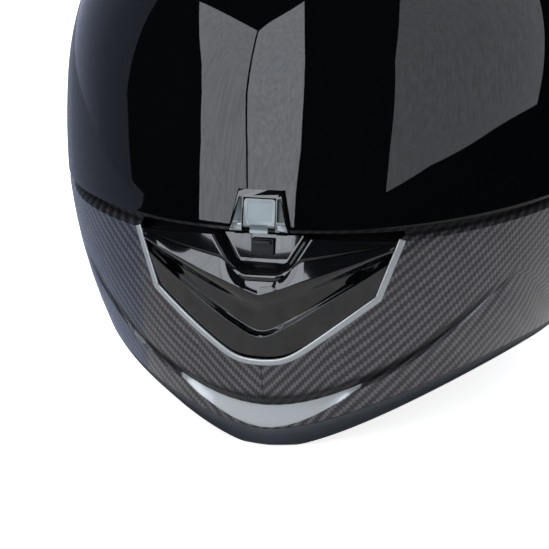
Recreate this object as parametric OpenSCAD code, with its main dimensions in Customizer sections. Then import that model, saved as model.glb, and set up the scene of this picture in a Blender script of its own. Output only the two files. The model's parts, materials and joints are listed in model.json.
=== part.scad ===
// Full face motorcycle helmet, standing on its lower edge. Millimetres.
// The front faces -Y, up is +Z and the wearer's left is +X.

/* [Outer surface] */
// Half of the width over the visor
half_w = 126; // [120:0.5:132]
// Middle to the front of the chin bar
front_y = 162; // [154:1:170]
// Middle to the back of the shell
rear_y = 163.2; // [156:0.2:170]
// Height at which the visor's surface would close over the crown
crown_z = 258; // [252:1:266]
// Height of the widest place
wide_z = 140; // [130:1:150]
// Height of the foremost place of the chin bar
chin_z = 62; // [55:1:70]
// Height of the rearmost place
back_z = 130; // [120:1:140]
// How far the sides draw in at the table
side_tuck = 38; // [30:1:44]
// How far the chin draws in at the table
chin_tuck = 15; // [10:1:20]
// How far the back draws in at the table
back_tuck = 48; // [40:1:56]

/* [Shell] */
// Thickness of the laid-up shell
wall = 4.5; // [3.5:0.1:5.5]
// Depth of the step behind the visor at the front
step_front = 5.5; // [4.8:0.1:7]
// Depth of the step behind the visor at the sides
step_side = 6.4; // [6:0.1:7]
// Depth of the crown under the visor's surface
step_crown = 5; // [4:0.1:7]
// Height of the shell's lower edge at the chin
rim_chin = 9; // [8:0.5:12]
// Height of the shell's lower edge at the back
rim_back = 10; // [8:0.5:13]
// Height of the shell's lower edge at the sides
rim_side = 36; // [32:0.5:40]
// Gap between parts that sit on each other
seat = 0.4; // [0.2:0.05:0.6]
// Depth of the fold round the chin bar
fold_d = 3.3; // [2:0.1:3.4]
// Height of the fold at the middle
fold_z = 22.5; // [21:0.5:24]

/* [Eye port] */
// Lower edge of the eye port
port_low = 109; // [107:0.5:112]
// Upper edge of the eye port
port_high = 193; // [188:0.5:196]
// Rear end of the eye port behind the middle (negative is in front)
port_end = -48; // [-56:1:-44]
// Width of the rubber seal round the eye port
seal_w = 6; // [4:0.5:7]

/* [Visor] */
// Thickness of the visor
visor_t = 2.2; // [1.8:0.1:2.6]
// Lower edge of the visor at the front
visor_low = 101.5; // [100.5:0.5:103]
// Upper edge of the visor at the front
visor_high = 205; // [202:0.5:208]
// Gap under the visor's lower edge at the front
ledge_gap = 6; // [5:0.5:7]
// Height of the visor's pivot
pivot_z = 142; // [140:0.5:144]
// Place of the visor's pivot along the helmet
pivot_y = 4.4; // [2:0.2:8]
// Radius of the visor's rear end round its pivot
ear_r = 35; // [33:0.5:36]
// Radius of the pivot hub
hub_r = 10; // [8:0.25:12]
// Radial running fit of the visor on its hub
hub_fit = 0.08; // [0.04:0.01:0.1]
// Radius of the pivot base plate
base_r = 22; // [21:0.5:23]
// Thickness of the pivot base plate
base_t = 2.4; // [2:0.1:2.6]
// Radius of the hub's cover
cap_r = 13; // [12:0.25:15]

/* [Latch] */
// Half width of the latch frame at its foot
latch_foot = 13.7; // [13:0.1:15]
// Half width of the latch frame at its top
latch_head = 9.8; // [9:0.1:11]
// Height of the latch frame
latch_h = 18.5; // [17:0.5:20]
// How far the latch frame stands out
latch_t = 3.6; // [3.2:0.1:4.5]
// Width of the lever
lever_w = 14; // [12:0.25:14.5]
// Radius of the latch's pin
pin_r = 0.8; // [0.7:0.05:0.9]
// Radial running fit of the lever on the pin
pin_fit = 0.05; // [0.03:0.01:0.1]

/* [Chin vent] */
// Lowest point of the bright trim
vent_low = 40; // [38:0.5:43]
// Rise of the trim per millimetre of width
vent_slope = 0.743; // [0.7:0.005:0.78]
// Half width of the vent at its kink
vent_kink = 51.4; // [49:0.2:53]
// Width of the bright trim
bezel_w = 3; // [2.4:0.1:3.4]
// How far the bright trim stands out
bezel_up = 0.9; // [0.6:0.1:1.2]
// Thickness of the vent's mouldings
mould_t = 2.4; // [2:0.1:3]
// Height of the crease at the middle
crease_z = 73; // [71:0.5:75]
// How far the crease stands out
crease_up = 1.8; // [1:0.1:2.2]
// Half width of the shutter's window
window_w = 18; // [14:0.5:20]
// Height of the shutter's window
window_h = 10; // [8:0.5:11]
// Travel of the shutter
shutter_travel = 11; // [10:0.5:12]

/* [Linings] */
// Thickness of the crown foam
foam_t = 29; // [24:0.5:32]
// Thickness of the crown's fabric lining
liner_t = 8; // [6:0.5:10]
// Depth of the cheek foam under the outer surface
cheek_foam_d = 34; // [30:0.5:38]
// Depth of the cheek pads' inner face under the outer surface
cheek_pad_d = 58; // [52:0.5:62]
// Thickness of the chin foam
chin_foam_t = 15; // [12:0.5:18]

/* [Strap] */
// Width of the strap
strap_w = 22; // [20:0.5:25]
// Thickness of the strap
strap_t = 1.8; // [1.4:0.1:2.4]

/* [Hidden] */
$fn = 48;
// Thinnest clearance that keeps moving parts apart
air = 0.3;

// Small helpers
function clamp01(x) = min(1, max(0, x));
function ease(a, b, x) = let (u = clamp01((x - a) / (b - a))) u * u * (3 - 2 * u);
function mix(a, b, u) = a + (b - a) * u;
function turn(t) = abs((t + 540) % 360 - 180);
function steps(a, b, n) = [for (i = [0:n]) a + (b - a) * i / n];

// Outer surface. t is the angle from the front, z the height and d the depth under the surface.
function dome(a, e) = pow(max(0, 1 - pow(a, e)), 1 / e);
function side(z, d) = z <= wide_z
    ? half_w - d - side_tuck * pow((wide_z - z) / wide_z, 2.3)
    : (half_w - d) * dome((z - wide_z) / (crown_z - d - wide_z), 2.2);
mid_y = 8;
function axis_y(z) = 0.03 * z;
function front(z, d) = z <= chin_z
    ? d - front_y + chin_tuck * pow((chin_z - z) / chin_z, 1.6)
    : mid_y - (front_y + mid_y - d) * dome((z - chin_z) / (crown_z - d - chin_z), 2.15);
function back(z, d) = z <= back_z
    ? rear_y - d - back_tuck * pow((back_z - z) / back_z, 2)
    : mid_y + (rear_y - mid_y - d) * dome((z - back_z) / (crown_z - d - back_z), 2.3);
function nose(z) = 1.88 + 0.32 * clamp01(z / 104);
function skin(t, z, d = 0) = let (
        ahead = cos(t) > 0,
        n = ahead ? nose(z) : 2.2,
        s = abs(sin(t)) < 1e-9 ? 0 : sign(sin(t)) * pow(abs(sin(t)), 2 / n),
        c = pow(abs(cos(t)), 2 / n),
        y = axis_y(z))
    [side(z, d) * s, ahead ? y - (y - front(z, d)) * c : y + (back(z, d) - y) * c, z];
// Front of the surface at a given x
function face_y(x, z, d = 0) = let (y = axis_y(z), n = nose(z))
    y - (y - front(z, d)) * pow(max(0, 1 - pow(abs(x) / side(z, d), n)), 1 / n);

// Outward normal of the surface, and a place on it with Z pointing outward
function skin_out(t, z, d) = let (v = cross(skin(t + 1, z, d) - skin(t - 1, z, d),
    skin(t, z + 1, d) - skin(t, z - 1, d))) v / norm(v);
module on_skin(t, z, d) {
    v = skin_out(t, z, d);
    translate(skin(t, z, d)) rotate([0, acos(v.z), atan2(v.y, v.x)]) children();
}

// Lower edge of the shell
function rim(t) = let (a = turn(t)) a <= 90
    ? rim_chin + (rim_side - rim_chin) * pow(sin(min(90, a * 90 / 72)), 1.7)
    : rim_back + (rim_side - rim_back) * pow(cos(min(90, max(0, (a - 105) * 90 / 75))), 2);
// Lower edge of the visor and the step in the shell under it
function visor_edge(t) = visor_low + 3 * pow(sin(t), 2);
function ledge(t) = visor_edge(t) - ledge_gap + (ledge_gap - 3.5) * pow(sin(t), 2);
ledge_soft = 1;
function step_depth(t) = let (a = turn(t))
    mix(mix(step_front, step_side, pow(sin(min(a, 90)), 2)), 0, ease(106, 150, a));
function shell_d(t, z) = let (
        a = turn(t),
        soft = mix(ledge_soft, 22, ease(106, 135, a)))
    mix(mix(0, step_depth(t), ease(ledge(t) - soft, ledge(t) + soft, z)), step_crown,
        ease(185, 235, z));
function inner_d(t, z) = shell_d(t, z) + wall;
// Fold round the chin bar: an undercut over a flank, which widens to a dish at the middle
fold_rise = 0.0165;
fold_half = 2.5;
fold_end = 56;
dish_gap = 0.8;
dish_rise = 0.033;
function fold_taper(t) = pow(max(0, 1 - pow(turn(t) / fold_end, 2)), 0.7);
function fold_line(t) = fold_z + fold_rise * pow(min(turn(t), fold_end), 2);
function fold_top(t) = fold_line(t) + fold_half * max(0.4, fold_taper(t));
function fold_foot(t) = fold_line(t) - fold_half * max(0.4, fold_taper(t));
function dish_edge(t) = min(fold_foot(t) - 2, rim_chin + dish_gap + dish_rise * pow(turn(t), 2));
function fold_depth(t, z) = fold_d * fold_taper(t) * (z >= fold_foot(t)
    ? 1 - ease(fold_foot(t), fold_top(t), z) : clamp01((z - dish_edge(t)) / (fold_foot(t) - dish_edge(t))));

// Solid between two grids of points, rows first. closed joins the last column to the first,
// pole closes the last row with one point on each side.
module grid_solid(outer, inner, closed = false, pole = undef) {
    m = len(outer);
    n = len(outer[0]);
    cols = closed ? n : n - 1;
    total = m * n;
    top = 2 * total;
    quads = [for (i = [0:m - 2], j = [0:cols - 1]) let (
            a = i * n + j, b = i * n + (j + 1) % n, c = a + n, d = b + n)
        each [[a, c, d], [a, d, b], [total + a, total + d, total + c],
            [total + a, total + b, total + d]]];
    foot = [for (j = [0:cols - 1]) let (a = j, b = (j + 1) % n)
        each [[a, b, total + b], [a, total + b, total + a]]];
    r = (m - 1) * n;
    head = pole == undef
        ? [for (j = [0:cols - 1]) let (a = r + j, b = r + (j + 1) % n)
            each [[b, a, total + a], [b, total + a, total + b]]]
        : [for (j = [0:cols - 1]) let (a = r + j, b = r + (j + 1) % n)
            each [[a, top, b], [total + a, total + b, top + 1]]];
    ends = closed ? [] : [for (i = [0:m - 2]) let (a = i * n, b = a + n - 1)
        each [[a, total + a, total + a + n], [a, total + a + n, a + n],
            [b + n, total + b + n, total + b], [b + n, total + b, b]]];
    polyhedron(concat([for (row = outer) each row], [for (row = inner) each row],
        pole == undef ? [] : pole), concat(quads, foot, head, ends), convexity = 8);
}

// Solid swept through rings of points. closed joins the last ring to the first.
module ring_solid(rings, closed = false) {
    m = len(rings);
    k = len(rings[0]);
    spans = closed ? m : m - 1;
    walls = [for (i = [0:spans - 1], j = [0:k - 1]) let (
            a = i * k + j, b = i * k + (j + 1) % k,
            c = ((i + 1) % m) * k + j, d = ((i + 1) % m) * k + (j + 1) % k)
        each [[a, d, b], [a, c, d]]];
    caps = closed ? [] : concat([for (j = [1:k - 2]) [0, j, j + 1]],
        [for (j = [1:k - 2]) let (o = (m - 1) * k) [o, o + j + 1, o + j]]);
    polyhedron([for (r = rings) each r], concat(walls, caps), convexity = 8);
}

// Patch of the helmet's surface between two depths
module patch(ts, lo, hi, rows, d_out, d_in) {
    outer = [for (i = [0:rows]) [for (t = ts)
        let (z = mix(lo(t), hi(t), i / rows)) skin(t, z, d_out(t, z))]];
    inner = [for (i = [0:rows]) [for (t = ts)
        let (z = mix(lo(t), hi(t), i / rows)) skin(t, z, d_in(t, z))]];
    grid_solid(outer, inner);
}

// Cap over the crown, from a lower edge to the pole, between two depths
module crown_solid(n, rows, lo, d_out, d_in) {
    ts = [for (j = [0:n - 1]) j * 360 / n];
    top_o = crown_z - d_out(0, crown_z);
    top_i = crown_z - d_in(0, crown_z);
    function at(t, i, top, d) = let (z = lo(t) + (top - lo(t)) * sin(90 * i / rows))
        skin(t, z, mix(d(t, z), crown_z - top, ease(top - 30, top - 4, z)));
    outer = [for (i = [0:rows - 1]) [for (t = ts) at(t, i, top_o, d_out)]];
    inner = [for (i = [0:rows - 1]) [for (t = ts) at(t, i, top_i, d_in)]];
    grid_solid(outer, inner, true, [[0, mid_y, top_o], [0, mid_y, top_i]]);
}

// Outline of the eye port in the side view, grown by g
port_round = 26;
module port_outline(g) {
    far = -front_y - 40;
    hull() {
        translate([port_end - port_round, port_low + port_round + 2])
            circle(port_round + g, $fn = 64);
        translate([port_end - port_round - 8, port_high - port_round - 3])
            circle(port_round + g, $fn = 64);
        translate([far, port_low - g]) square([1, port_high - port_low + 2 * g]);
    }
}
// Turns a drawing in the side view into a bar across the helmet
module across(w) {
    rotate([90, 0, 90]) linear_extrude(w, center = true) children();
}
// Turns a drawing in the front view into a bar along the helmet, from y0 to y1
module along(y0, y1) {
    translate([0, y1, 0]) rotate([90, 0, 0]) linear_extrude(y1 - y0) children();
}
module both_sides() {
    children();
    mirror([1, 0, 0]) children();
}

// Vent outline in the front view: a rounded V below the kink and straight sides above it
vent_soft = 2.5;
vent_start = 8.7;
vent_lean = 0.372;
function vent_v(x) = vent_low + vent_soft * ln(1 + exp((vent_slope * abs(x) - vent_start) / vent_soft));
vent_kink_z = vent_v(vent_kink);
vent_top = visor_low - 3.5;
vent_tip_z = ledge(24) - 0.5;
vent_tip_x = vent_kink + (vent_tip_z - vent_kink_z) * vent_lean;
// Point on the outline, w from 0 at the lowest point to 1 at the tip
kink_at = 0.7;
function vent_edge(w) = w <= kink_at
    ? let (x = vent_kink * w / kink_at) [x, vent_v(x)]
    : let (u = (w - kink_at) / (1 - kink_at))
        [mix(vent_kink, vent_tip_x, u), mix(vent_kink_z, vent_tip_z, u)];
function inset(p, q, g) = let (v = q - p, n = [-v.y, v.x] / norm(v)) p + n * g;
function vent_inset(w, g) = let (e = 0.01, a = vent_edge(max(0, w - e)), b = vent_edge(min(1, w + e)))
    w == 0 ? vent_edge(0) + [0, g] : inset(vent_edge(w), vent_edge(w) + (b - a), g);

// Lines of the vent's face, w from 0 at the middle to 1 at the side. Each gives [x, z].
bezel_in = bezel_w + 0.35;
kink_in = vent_inset(kink_at, bezel_in);
function line_lip(w) = let (x = kink_in.x * w) [x, vent_v(x) + bezel_in * norm([1, vent_slope])];
function side_x(z) = kink_in.x + (z - line_lip(1).y) * vent_lean;
ridge_low = vent_low + 9.7;
ridge_slope = 0.662;
ridge_end = side_x(ridge_low + ridge_slope * 54);
function line_ridge(w) = let (x = w * ridge_end) [x, ridge_low + ridge_slope * norm([x, 5.5])];
crease_rise = 19.5;
crease_end = side_x(crease_z + crease_rise);
function line_crease(w) = [w * crease_end, crease_z + crease_rise * w];
groove_z = crease_z + 14.8;
groove_rise = 6.4;
groove_end = side_x(groove_z + groove_rise);
trough_dip = 9.5;
function line_groove(w) = let (x = w * groove_end)
    [x, groove_z + groove_rise * clamp01((x - 20) / (groove_end - 20)) - trough_dip * (1 - ease(6, 20, x))];
top_drop = 2.6;
top_end = side_x(vent_top - top_drop);
function line_top(w) = [w * top_end, vent_top - top_drop * w * w];

// Depth of the vent's face between two lines, u from 0 at the lower one to 1 at the upper one
recess_d = 3.2;
trough_d = 6.5;
function scoop_d(u) = u <= 1
    ? mix(0.6, -0.2, u)
    : let (v = u - 1) mix(mix(recess_d, 0.4, pow(v, 1.4)), -crease_up, ease(0.55, 1, v)) * ease(0, 0.12, v)
        - 0.2 * (1 - ease(0, 0.12, v));
function trough(x, z) = trough_d * ease(0, 7, z - line_groove(0).y - 1.5)
    * (1 - ease(0, 5, abs(x) - 6.5 - 0.62 * (z - line_groove(0).y - 1.5)));
function vent_point(p, d) = [p.x, face_y(p.x, p.y) + d, p.y];

module outer_shell() {
    color("#2b2c30") difference() {
        resize([0, 0, 0]) difference() {
            shell_blank();
            across(3 * half_w) port_outline(0);
            along(-front_y - 20, -100) vent_hole_outline(0);
            both_sides() base_pocket();
            both_sides() brow_hole();
            both_sides() exhaust_hole(0);
            spoiler_hole();
        }
        both_sides() screw_places(0) rotate([0, 90, 0])
            cylinder(r = screw_r + 0.1, h = 30, center = true);
        both_sides() translate(anchor_place()) rotate([0, 90, 0])
            cylinder(r = rivet_r + 0.05, h = 3 * wall, center = true);
    }
}
shell_cols = 60;
low_rows = 8;
high_rows = 11;
// Heights of the shell's lower rows at the front, which follow the fold
function fold_level(t, i, top) = i <= 2 ? mix(rim(t), dish_edge(t), i / 2)
    : i == 3 ? fold_foot(t) : mix(fold_top(t), top, (i - 4) / (low_rows - 4));
module shell_blank() {
    ts = [for (j = [0:shell_cols - 1]) j * 360 / shell_cols];
    function level(t, i, top) = let (a = ledge(t) - ledge_soft, b = ledge(t) + ledge_soft)
        i <= low_rows ? mix(fold_level(t, i, a), mix(rim(t), a, i / low_rows), ease(fold_end, 80, turn(t)))
            : i == low_rows + 1 ? b
            : b + (top - b) * sin(90 * (i - low_rows - 1) / high_rows);
    top_o = crown_z - step_crown;
    top_i = top_o - wall;
    outer = [for (i = [0:low_rows + high_rows]) [for (t = ts)
        let (z = level(t, i, top_o)) skin(t, z, shell_d(t, z) + fold_depth(t, z))]];
    inner = [for (i = [0:low_rows + high_rows]) [for (t = ts)
        let (z = level(t, i, top_i)) skin(t, z, inner_d(t, z))]];
    grid_solid(outer, inner, true, [[0, mid_y, top_o], [0, mid_y, top_i]]);
}
module vent_hole_outline(g) {
    edge = bezel_w - 0.8 - g;
    ws = steps(0.04, 1, 24);
    polygon(concat([[0, vent_edge(0).y + edge * 1.1]],
        [for (w = ws) vent_inset(w, edge)],
        [[vent_tip_x - edge, vent_top + 1], [-vent_tip_x + edge, vent_top + 1]],
        [for (i = [len(ws) - 1:-1:0]) let (p = vent_inset(ws[i], edge)) [-p.x, p.y]]));
}

// Rubber edging, butted under the shell with a lip behind it
trim_h = 10.5;
trim_w = 11;
module edge_trim() {
    n = 64;
    color("#383b42") ring_solid([for (j = [0:n - 1]) let (
            t = j * 360 / n,
            a = abs(sin(t)),
            zt = rim(t) - seat / 2,
            zb = max(0, rim(t) - trim_h - 2 * a),
            f = function(d, z) skin(t, z, d))
        [f(0, zt), f(-0.4 + 1.5 * a, mix(zt, zb, 0.35)), f(7.5 * a, mix(zt, zb, 0.85)),
            f(9 * a + 1.5, zb), f(9 * a + trim_w - 2, zb), f(6 * a + trim_w, mix(zt, zb, 0.4)),
            f(wall + 3, zt + 5), f(wall + seat, zt + 5), f(wall + seat, zt)]], true);
}

module eyeport_gasket() {
    color("#141416") resize([0, 0, 0]) {
        intersection() {
            patch(steps(-84, 84, 24), function(t) visor_edge(t) + 0.6, function(t) visor_high + 1,
                5, function(t, z) visor_t + 0.4, function(t, z) shell_d(t, z) - 2 * seat);
            across(3 * half_w) difference() {
                port_outline(seal_w);
                port_outline(-1.2);
            }
        }
        intersection() {
            patch(steps(-84, 84, 24), function(t) visor_edge(t) + 0.6, function(t) visor_high + 1,
                5, function(t, z) visor_t + 0.5, function(t, z) inner_d(t, z) + 0.3);
            across(3 * half_w) difference() {
                port_outline(-0.15);
                port_outline(-1.5);
            }
        }
    }
}

// Visor: heights of its lower and upper edge for an angle t
function plan_y(t) = skin(t, pivot_z).y;
function ear_half(y) = sqrt(max(0, ear_r * ear_r - pow(y - pivot_y, 2)));
function visor_lo(t) = let (y = plan_y(t)) y < pivot_y
    ? mix(visor_edge(t), pivot_z - ear_r, ease(-60, pivot_y, y)) : pivot_z - ear_half(y);
function visor_hi(t) = let (y = plan_y(t)) y < pivot_y
    ? mix(visor_high - 14 * pow(sin(t), 2), pivot_z + ear_r, ease(-75, pivot_y, y))
    : pivot_z + ear_half(y);
function ear_turn(y) = 90 + asin(pow((y - axis_y(pivot_z)) / (back(pivot_z, 0) - axis_y(pivot_z)), 1.1));
ear_angles = [for (u = [0.15, 0.4, 0.62, 0.8, 0.92, 0.985]) ear_turn(pivot_y + u * ear_r)];
visor_angles = concat([for (i = [len(ear_angles) - 1:-1:0]) -ear_angles[i]],
    steps(-90, 90, 30), ear_angles);
module visor() {
    color("#15181c") resize([0, 0, 0]) difference() {
        patch(visor_angles, function(t) visor_lo(t), function(t) visor_hi(t), 8,
            function(t, z) 0, function(t, z) visor_t);
        both_sides() hub_place(base_top - 2) cylinder(r = hub_r + collar_w, h = 20);
    }
}
// Bushes bonded into the visor's ears, which turn on the hubs: a collar with a flange behind
flange_w = 4;
collar_w = 2.5;
module visor_bushes() {
    low = base_top + air;
    flange_top = skin(96, pivot_z + hub_r, visor_t).x - 0.15;
    color("#232529") both_sides() hub_place(low) difference() {
        union() {
            cylinder(r = hub_r + flange_w, h = flange_top - low);
            cylinder(r = hub_r + collar_w - 0.1, h = half_w - 0.8 - low);
        }
        translate([0, 0, -1]) cylinder(r = hub_r + hub_fit, h = 20);
    }
}
module hub_place(x) {
    translate([x, pivot_y, pivot_z]) rotate([0, 90, 0]) children();
}
// Clear inner lens behind the visor, held by two eccentric pins
lens_t = 1;
lens_gap = 0.5;
lens_end = 50;
module antifog_lens() {
    lo = port_low + 6;
    color("#c8d4dc") difference() {
        patch(steps(-lens_end, lens_end, 16), function(t) lo + 14 * pow(t / lens_end, 4),
            function(t) 186 - 12 * pow(t / lens_end, 4), 5, function(t, z) visor_t + lens_gap,
            function(t, z) visor_t + lens_gap + lens_t);
        both_sides() lens_pin_place() cylinder(r = 2.6, h = 20, center = true);
    }
}
lens_pin_z = 150;
module lens_pin_place() { on_skin(lens_end - 1.2, lens_pin_z, visor_t) children(); }
module lens_pins() {
    head = 0.8;
    reach = lens_gap + lens_t + 2 * air + head;
    color("#dfe4e8") both_sides() lens_pin_place() {
        translate([0, 0, -reach]) cylinder(r = 2.2, h = reach - air);
        translate([0, 0, -reach]) cylinder(r = 3.4, h = head);
    }
}

// The latch stands on the visor, leaning back with it
latch_lean = atan((face_y(0, visor_low + latch_h) - face_y(0, visor_low)) / latch_h) - 0.73;
latch_seat = 0.35;
module latch_place() {
    z = visor_low - 1.2;
    translate([0, face_y(0, visor_low) - latch_seat, z]) rotate([-latch_lean, 0, 0]) children();
}
lever_z = 3;
lever_y = -2.1;
window_top = 15;
module latch_frame() {
    half = lever_w / 2 + 0.35;
    color("#1b1c1f") latch_place() difference() {
        union() {
            along(-latch_t, 0) polygon([[-latch_foot, 0], [latch_foot, 0],
                [latch_head, latch_h], [-latch_head, latch_h]]);
            along(-0.2, visor_t + 1.6) polygon([[-latch_foot + 3, 0.85], [-latch_foot + 2, -1.2],
                [latch_foot - 2, -1.2], [latch_foot - 3, 0.85]]);
        }
        translate([-half, -2 * latch_t, -2]) cube([2 * half, 2 * latch_t - 0.6, window_top + 2]);
        translate([-half, -0.7, -2]) cube([2 * half, 6, 4.4]);
        translate([0, lever_y, lever_z]) rotate([0, 90, 0])
            cylinder(r = pin_r, h = 2 * latch_foot - 3, center = true);
    }
}
module latch_pin() {
    color("#9a9da2") latch_place() translate([0, lever_y, lever_z]) rotate([0, 90, 0])
        cylinder(r = pin_r, h = 2 * latch_foot - 3.2, center = true);
}
module latch_lever() {
    tab_h = window_top - lever_z - 0.6;
    knuckle = 1.2;
    color("#98a0a2") latch_place() translate([0, lever_y, lever_z]) difference() {
        union() {
            rotate([0, 90, 0]) cylinder(r = knuckle, h = lever_w, center = true);
            translate([-lever_w / 2, -knuckle, 0]) cube([lever_w, 2 * knuckle - 0.3, tab_h]);
            translate([-4, -knuckle, -3.6]) cube([8, 2 * knuckle - 0.6, 3.6]);
        }
        rotate([0, 90, 0]) cylinder(r = pin_r + pin_fit, h = lever_w + 2, center = true);
    }
}
// Catch in the trough, under the lever's nose
module latch_catch() {
    y = face_y(0, vent_top) + trough_d;
    color("#2a2c30") translate([0, y - 1.6, vent_top - 9]) {
        translate([-5, -1.6, 0]) cube([10, 1.6, 7.5]);
        translate([-4, -3.6, 5.2]) cube([8, 3.6, 1.8]);
    }
}

// Panels of the chin vent, each from one line of the face to another
vent_ws = [for (i = [-12:12]) i / 12];
module vent_panel(rows, point) {
    outer = [for (v = rows) [for (w = vent_ws) let (p = point(abs(w), v)) [p.x * sign(w), p.y, p.z]]];
    inner = [for (row = outer) [for (p = row) p + [0, mould_t, 0]]];
    grid_solid(outer, inner);
}
seam = 0.4;
module chin_vent_cover() {
    color("#0c0d0f") vent_panel([0, 0.03, 0.12, 0.25, 0.4, 0.6, 0.8, 1], function(w, v) let (
            g = line_groove(w), a = [g.x, g.y + seam],
            p = mix(a, line_top(w), v))
        vent_point(p, 0.5 + trough(p.x, p.y) - 0.7 * ease(0, 0.12, v)));
}
slot_x = 42;
slot_rise = 31;
slit_x = 10;
module chin_vent_scoop() {
    rows = [0, 0.5, 0.94, 1, 1.1, 1.3, 1.5, 1.7, 1.85, 2, 2.5, 3];
    color("#0c0d0f") difference() {
        vent_panel(rows, function(w, v) let (
                lip = line_lip(w), ridge = line_ridge(w), crease = line_crease(w),
                g = line_groove(w),
                p = v <= 1 ? mix(lip, ridge, v) : v <= 2 ? mix(ridge, crease, v - 1)
                    : mix(crease, g, (v - 2)),
                d = v <= 2 ? scoop_d(v) : mix(-crease_up, 0.5, v - 2))
            vent_point(p, d));
        both_sides() along(-front_y - 10, -120)
            translate([slot_x, line_ridge(slot_x / ridge_end).y + 3.2]) rotate(slot_rise)
            hull() for (s = [-1, 1]) translate([5 * s, 0]) circle(1.7 + 0.4 * s, $fn = 24);
        along(-front_y - 10, -120) polygon(concat(
            [for (x = [-slit_x:2:slit_x]) [x, line_ridge(abs(x) / ridge_end).y + 0.3]],
            [for (x = [slit_x:-2:-slit_x]) [x, line_ridge(abs(x) / ridge_end).y + 2.1]]));
    }
}
module chin_vent_bezel() {
    ws = [for (i = [-18:18]) i / 18];
    color("#a9adb0") ring_solid([for (w = ws) let (
            p = vent_edge(abs(w)), q = vent_inset(abs(w), bezel_w), s = sign(w),
            a = vent_inset(abs(w), 0.5), b = vent_inset(abs(w), bezel_w - 0.5),
            f = function(p, d) [p.x * s, face_y(p.x, p.y) + d, p.y])
        [f(b, -0.2), f(b, 0.3), f(q, 0.3), f(q, -0.3), f(b, -bezel_up), f(a, -bezel_up),
            f(p, -0.3)]]);
}

// Duct behind the scoop: a neck to the scoop's back and a flat box that guides the shutter
duct_z = 60;
duct_y = face_y(24, 46) + wall + 0.6;
duct_w = 24;
duct_front = 1.8;
shutter_t = 2;
shutter_gap = 0.2;
duct_back = 2;
duct_depth = duct_front + shutter_t + 2 * shutter_gap + duct_back;
duct_low = duct_z - window_h / 2 - 5;
duct_high = duct_z + window_h / 2 + shutter_travel + 5;
neck_y = face_y(0, duct_z) + recess_d + mould_t + 2;
module chin_vent_duct() {
    slot = duct_y + duct_front;
    color("#202226") difference() {
        union() {
            translate([-duct_w, duct_y, duct_low]) cube([2 * duct_w, duct_depth, duct_high - duct_low]);
            translate([-window_w - 2, neck_y, duct_z - window_h / 2 - 2])
                cube([2 * window_w + 4, duct_y - neck_y + 1, window_h + 4]);
        }
        translate([-window_w, neck_y - 1, duct_z - window_h / 2])
            cube([2 * window_w, duct_depth + duct_y - neck_y + 2, window_h]);
        translate([-duct_w + 2 - shutter_gap, slot, duct_low + 3])
            cube([2 * duct_w - 4 + 2 * shutter_gap, shutter_t + 2 * shutter_gap, duct_high]);
        translate([-5.5, slot + 1, duct_z - window_h / 2])
            cube([11, duct_depth, window_h + shutter_travel]);
    }
}
module chin_vent_shutter() {
    y = duct_y + duct_front + shutter_gap;
    color("#3a3d42") {
        translate([-duct_w + 2, y, duct_z - window_h / 2 - 1.5])
            cube([2 * duct_w - 4, shutter_t, window_h + 3]);
        translate([-5, y + shutter_t - 0.5, duct_z - window_h / 2 + 0.5]) cube([10, tab_reach(), 3]);
    }
}
// The thumb tab runs through the chin foam to its inner face
function tab_reach() = wall + seat + chin_foam_t + face_y(0, duct_z) - duct_y + 3.5;
module chin_vent_mesh() {
    y = neck_y + 1.2;
    pitch = 4;
    bar = 0.8;
    color("#8d9196") difference() {
        translate([-window_w + 0.15, y, duct_z - window_h / 2 + 0.15])
            cube([2 * window_w - 0.3, 0.8, window_h - 0.3]);
        for (i = [-4:3], k = [0:1])
            translate([i * pitch + bar / 2, y - 1, duct_z + (k - 1) * pitch + bar / 2])
                cube([pitch - bar, 3, pitch - bar]);
    }
}

// Pivot base plates, screwed on flats in the shell's sides
flat_x = half_w - step_side - 2;
base_top = flat_x + 0.1 + base_t;
screw_r = 1.9;
screw_head = 3.2;
screw_off = 15.5;
tab_w = 13;
tab_low = 103.4;
tab_top = 126;
tab_travel = 4;
tab_shelf = 2.8;
module base_pocket() {
    translate([flat_x, 0, 0]) {
        translate([0, pivot_y, pivot_z]) rotate([0, 90, 0]) cylinder(r = base_r + 0.8, h = 30);
        translate([0, pivot_y - tab_w / 2 - 1, tab_low - tab_travel - 1.2])
            cube([30, tab_w + 2, pivot_z - tab_low]);
    }
}
module screw_places(x) {
    for (s = [-1, 1]) translate([x + flat_x, pivot_y + s * screw_off, pivot_z]) children();
}
module visor_base() {
    color("#17181a") difference() {
        union() {
            hub_place(flat_x + 0.1) cylinder(r = base_r, h = base_t, $fn = 96);
            hub_place(flat_x + 0.1) cylinder(r = hub_r, h = half_w - flat_x - 0.3);
        }
        translate([flat_x - 1, pivot_y - tab_w / 2 - air, 0])
            cube([base_t + 2, tab_w + 2 * air, tab_top + air]);
        screw_places(0.1) rotate([0, 90, 0]) {
            translate([0, 0, -5]) cylinder(r = screw_r + 0.1, h = 20);
            translate([0, 0, base_t - 1.3]) cylinder(r = screw_head + 0.2, h = 5);
        }
        hub_place(half_w - 4) cylinder(r = 4 + 0.05, h = 10);
    }
}
module visor_base_left() { visor_base(); }
module visor_base_right() { mirror([1, 0, 0]) visor_base(); }
module base_screws() {
    color("#b8bcc0") both_sides() screw_places(0.1) rotate([0, 90, 0]) difference() {
        union() {
            translate([0, 0, 2 - wall]) cylinder(r = screw_r, h = wall);
            translate([0, 0, base_t - 1.25]) cylinder(r = screw_head, h = 1.2);
        }
        translate([0, 0, base_t - 0.7]) cylinder(r = 1.4, h = 3);
    }
}
module pivot_cap() {
    color("#1d1e21") hub_place(half_w + air) {
        rotate_extrude($fn = 96) polygon([[0, 0], [cap_r - 0.6, 0], [cap_r, 0.5], [cap_r - 0.8, 1.5],
            [cap_r - 2, 1.9], [0, 2.1]]);
        translate([0, 0, -4]) cylinder(r = 4, h = 4.5);
    }
}
module pivot_cap_left() { pivot_cap(); }
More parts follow.
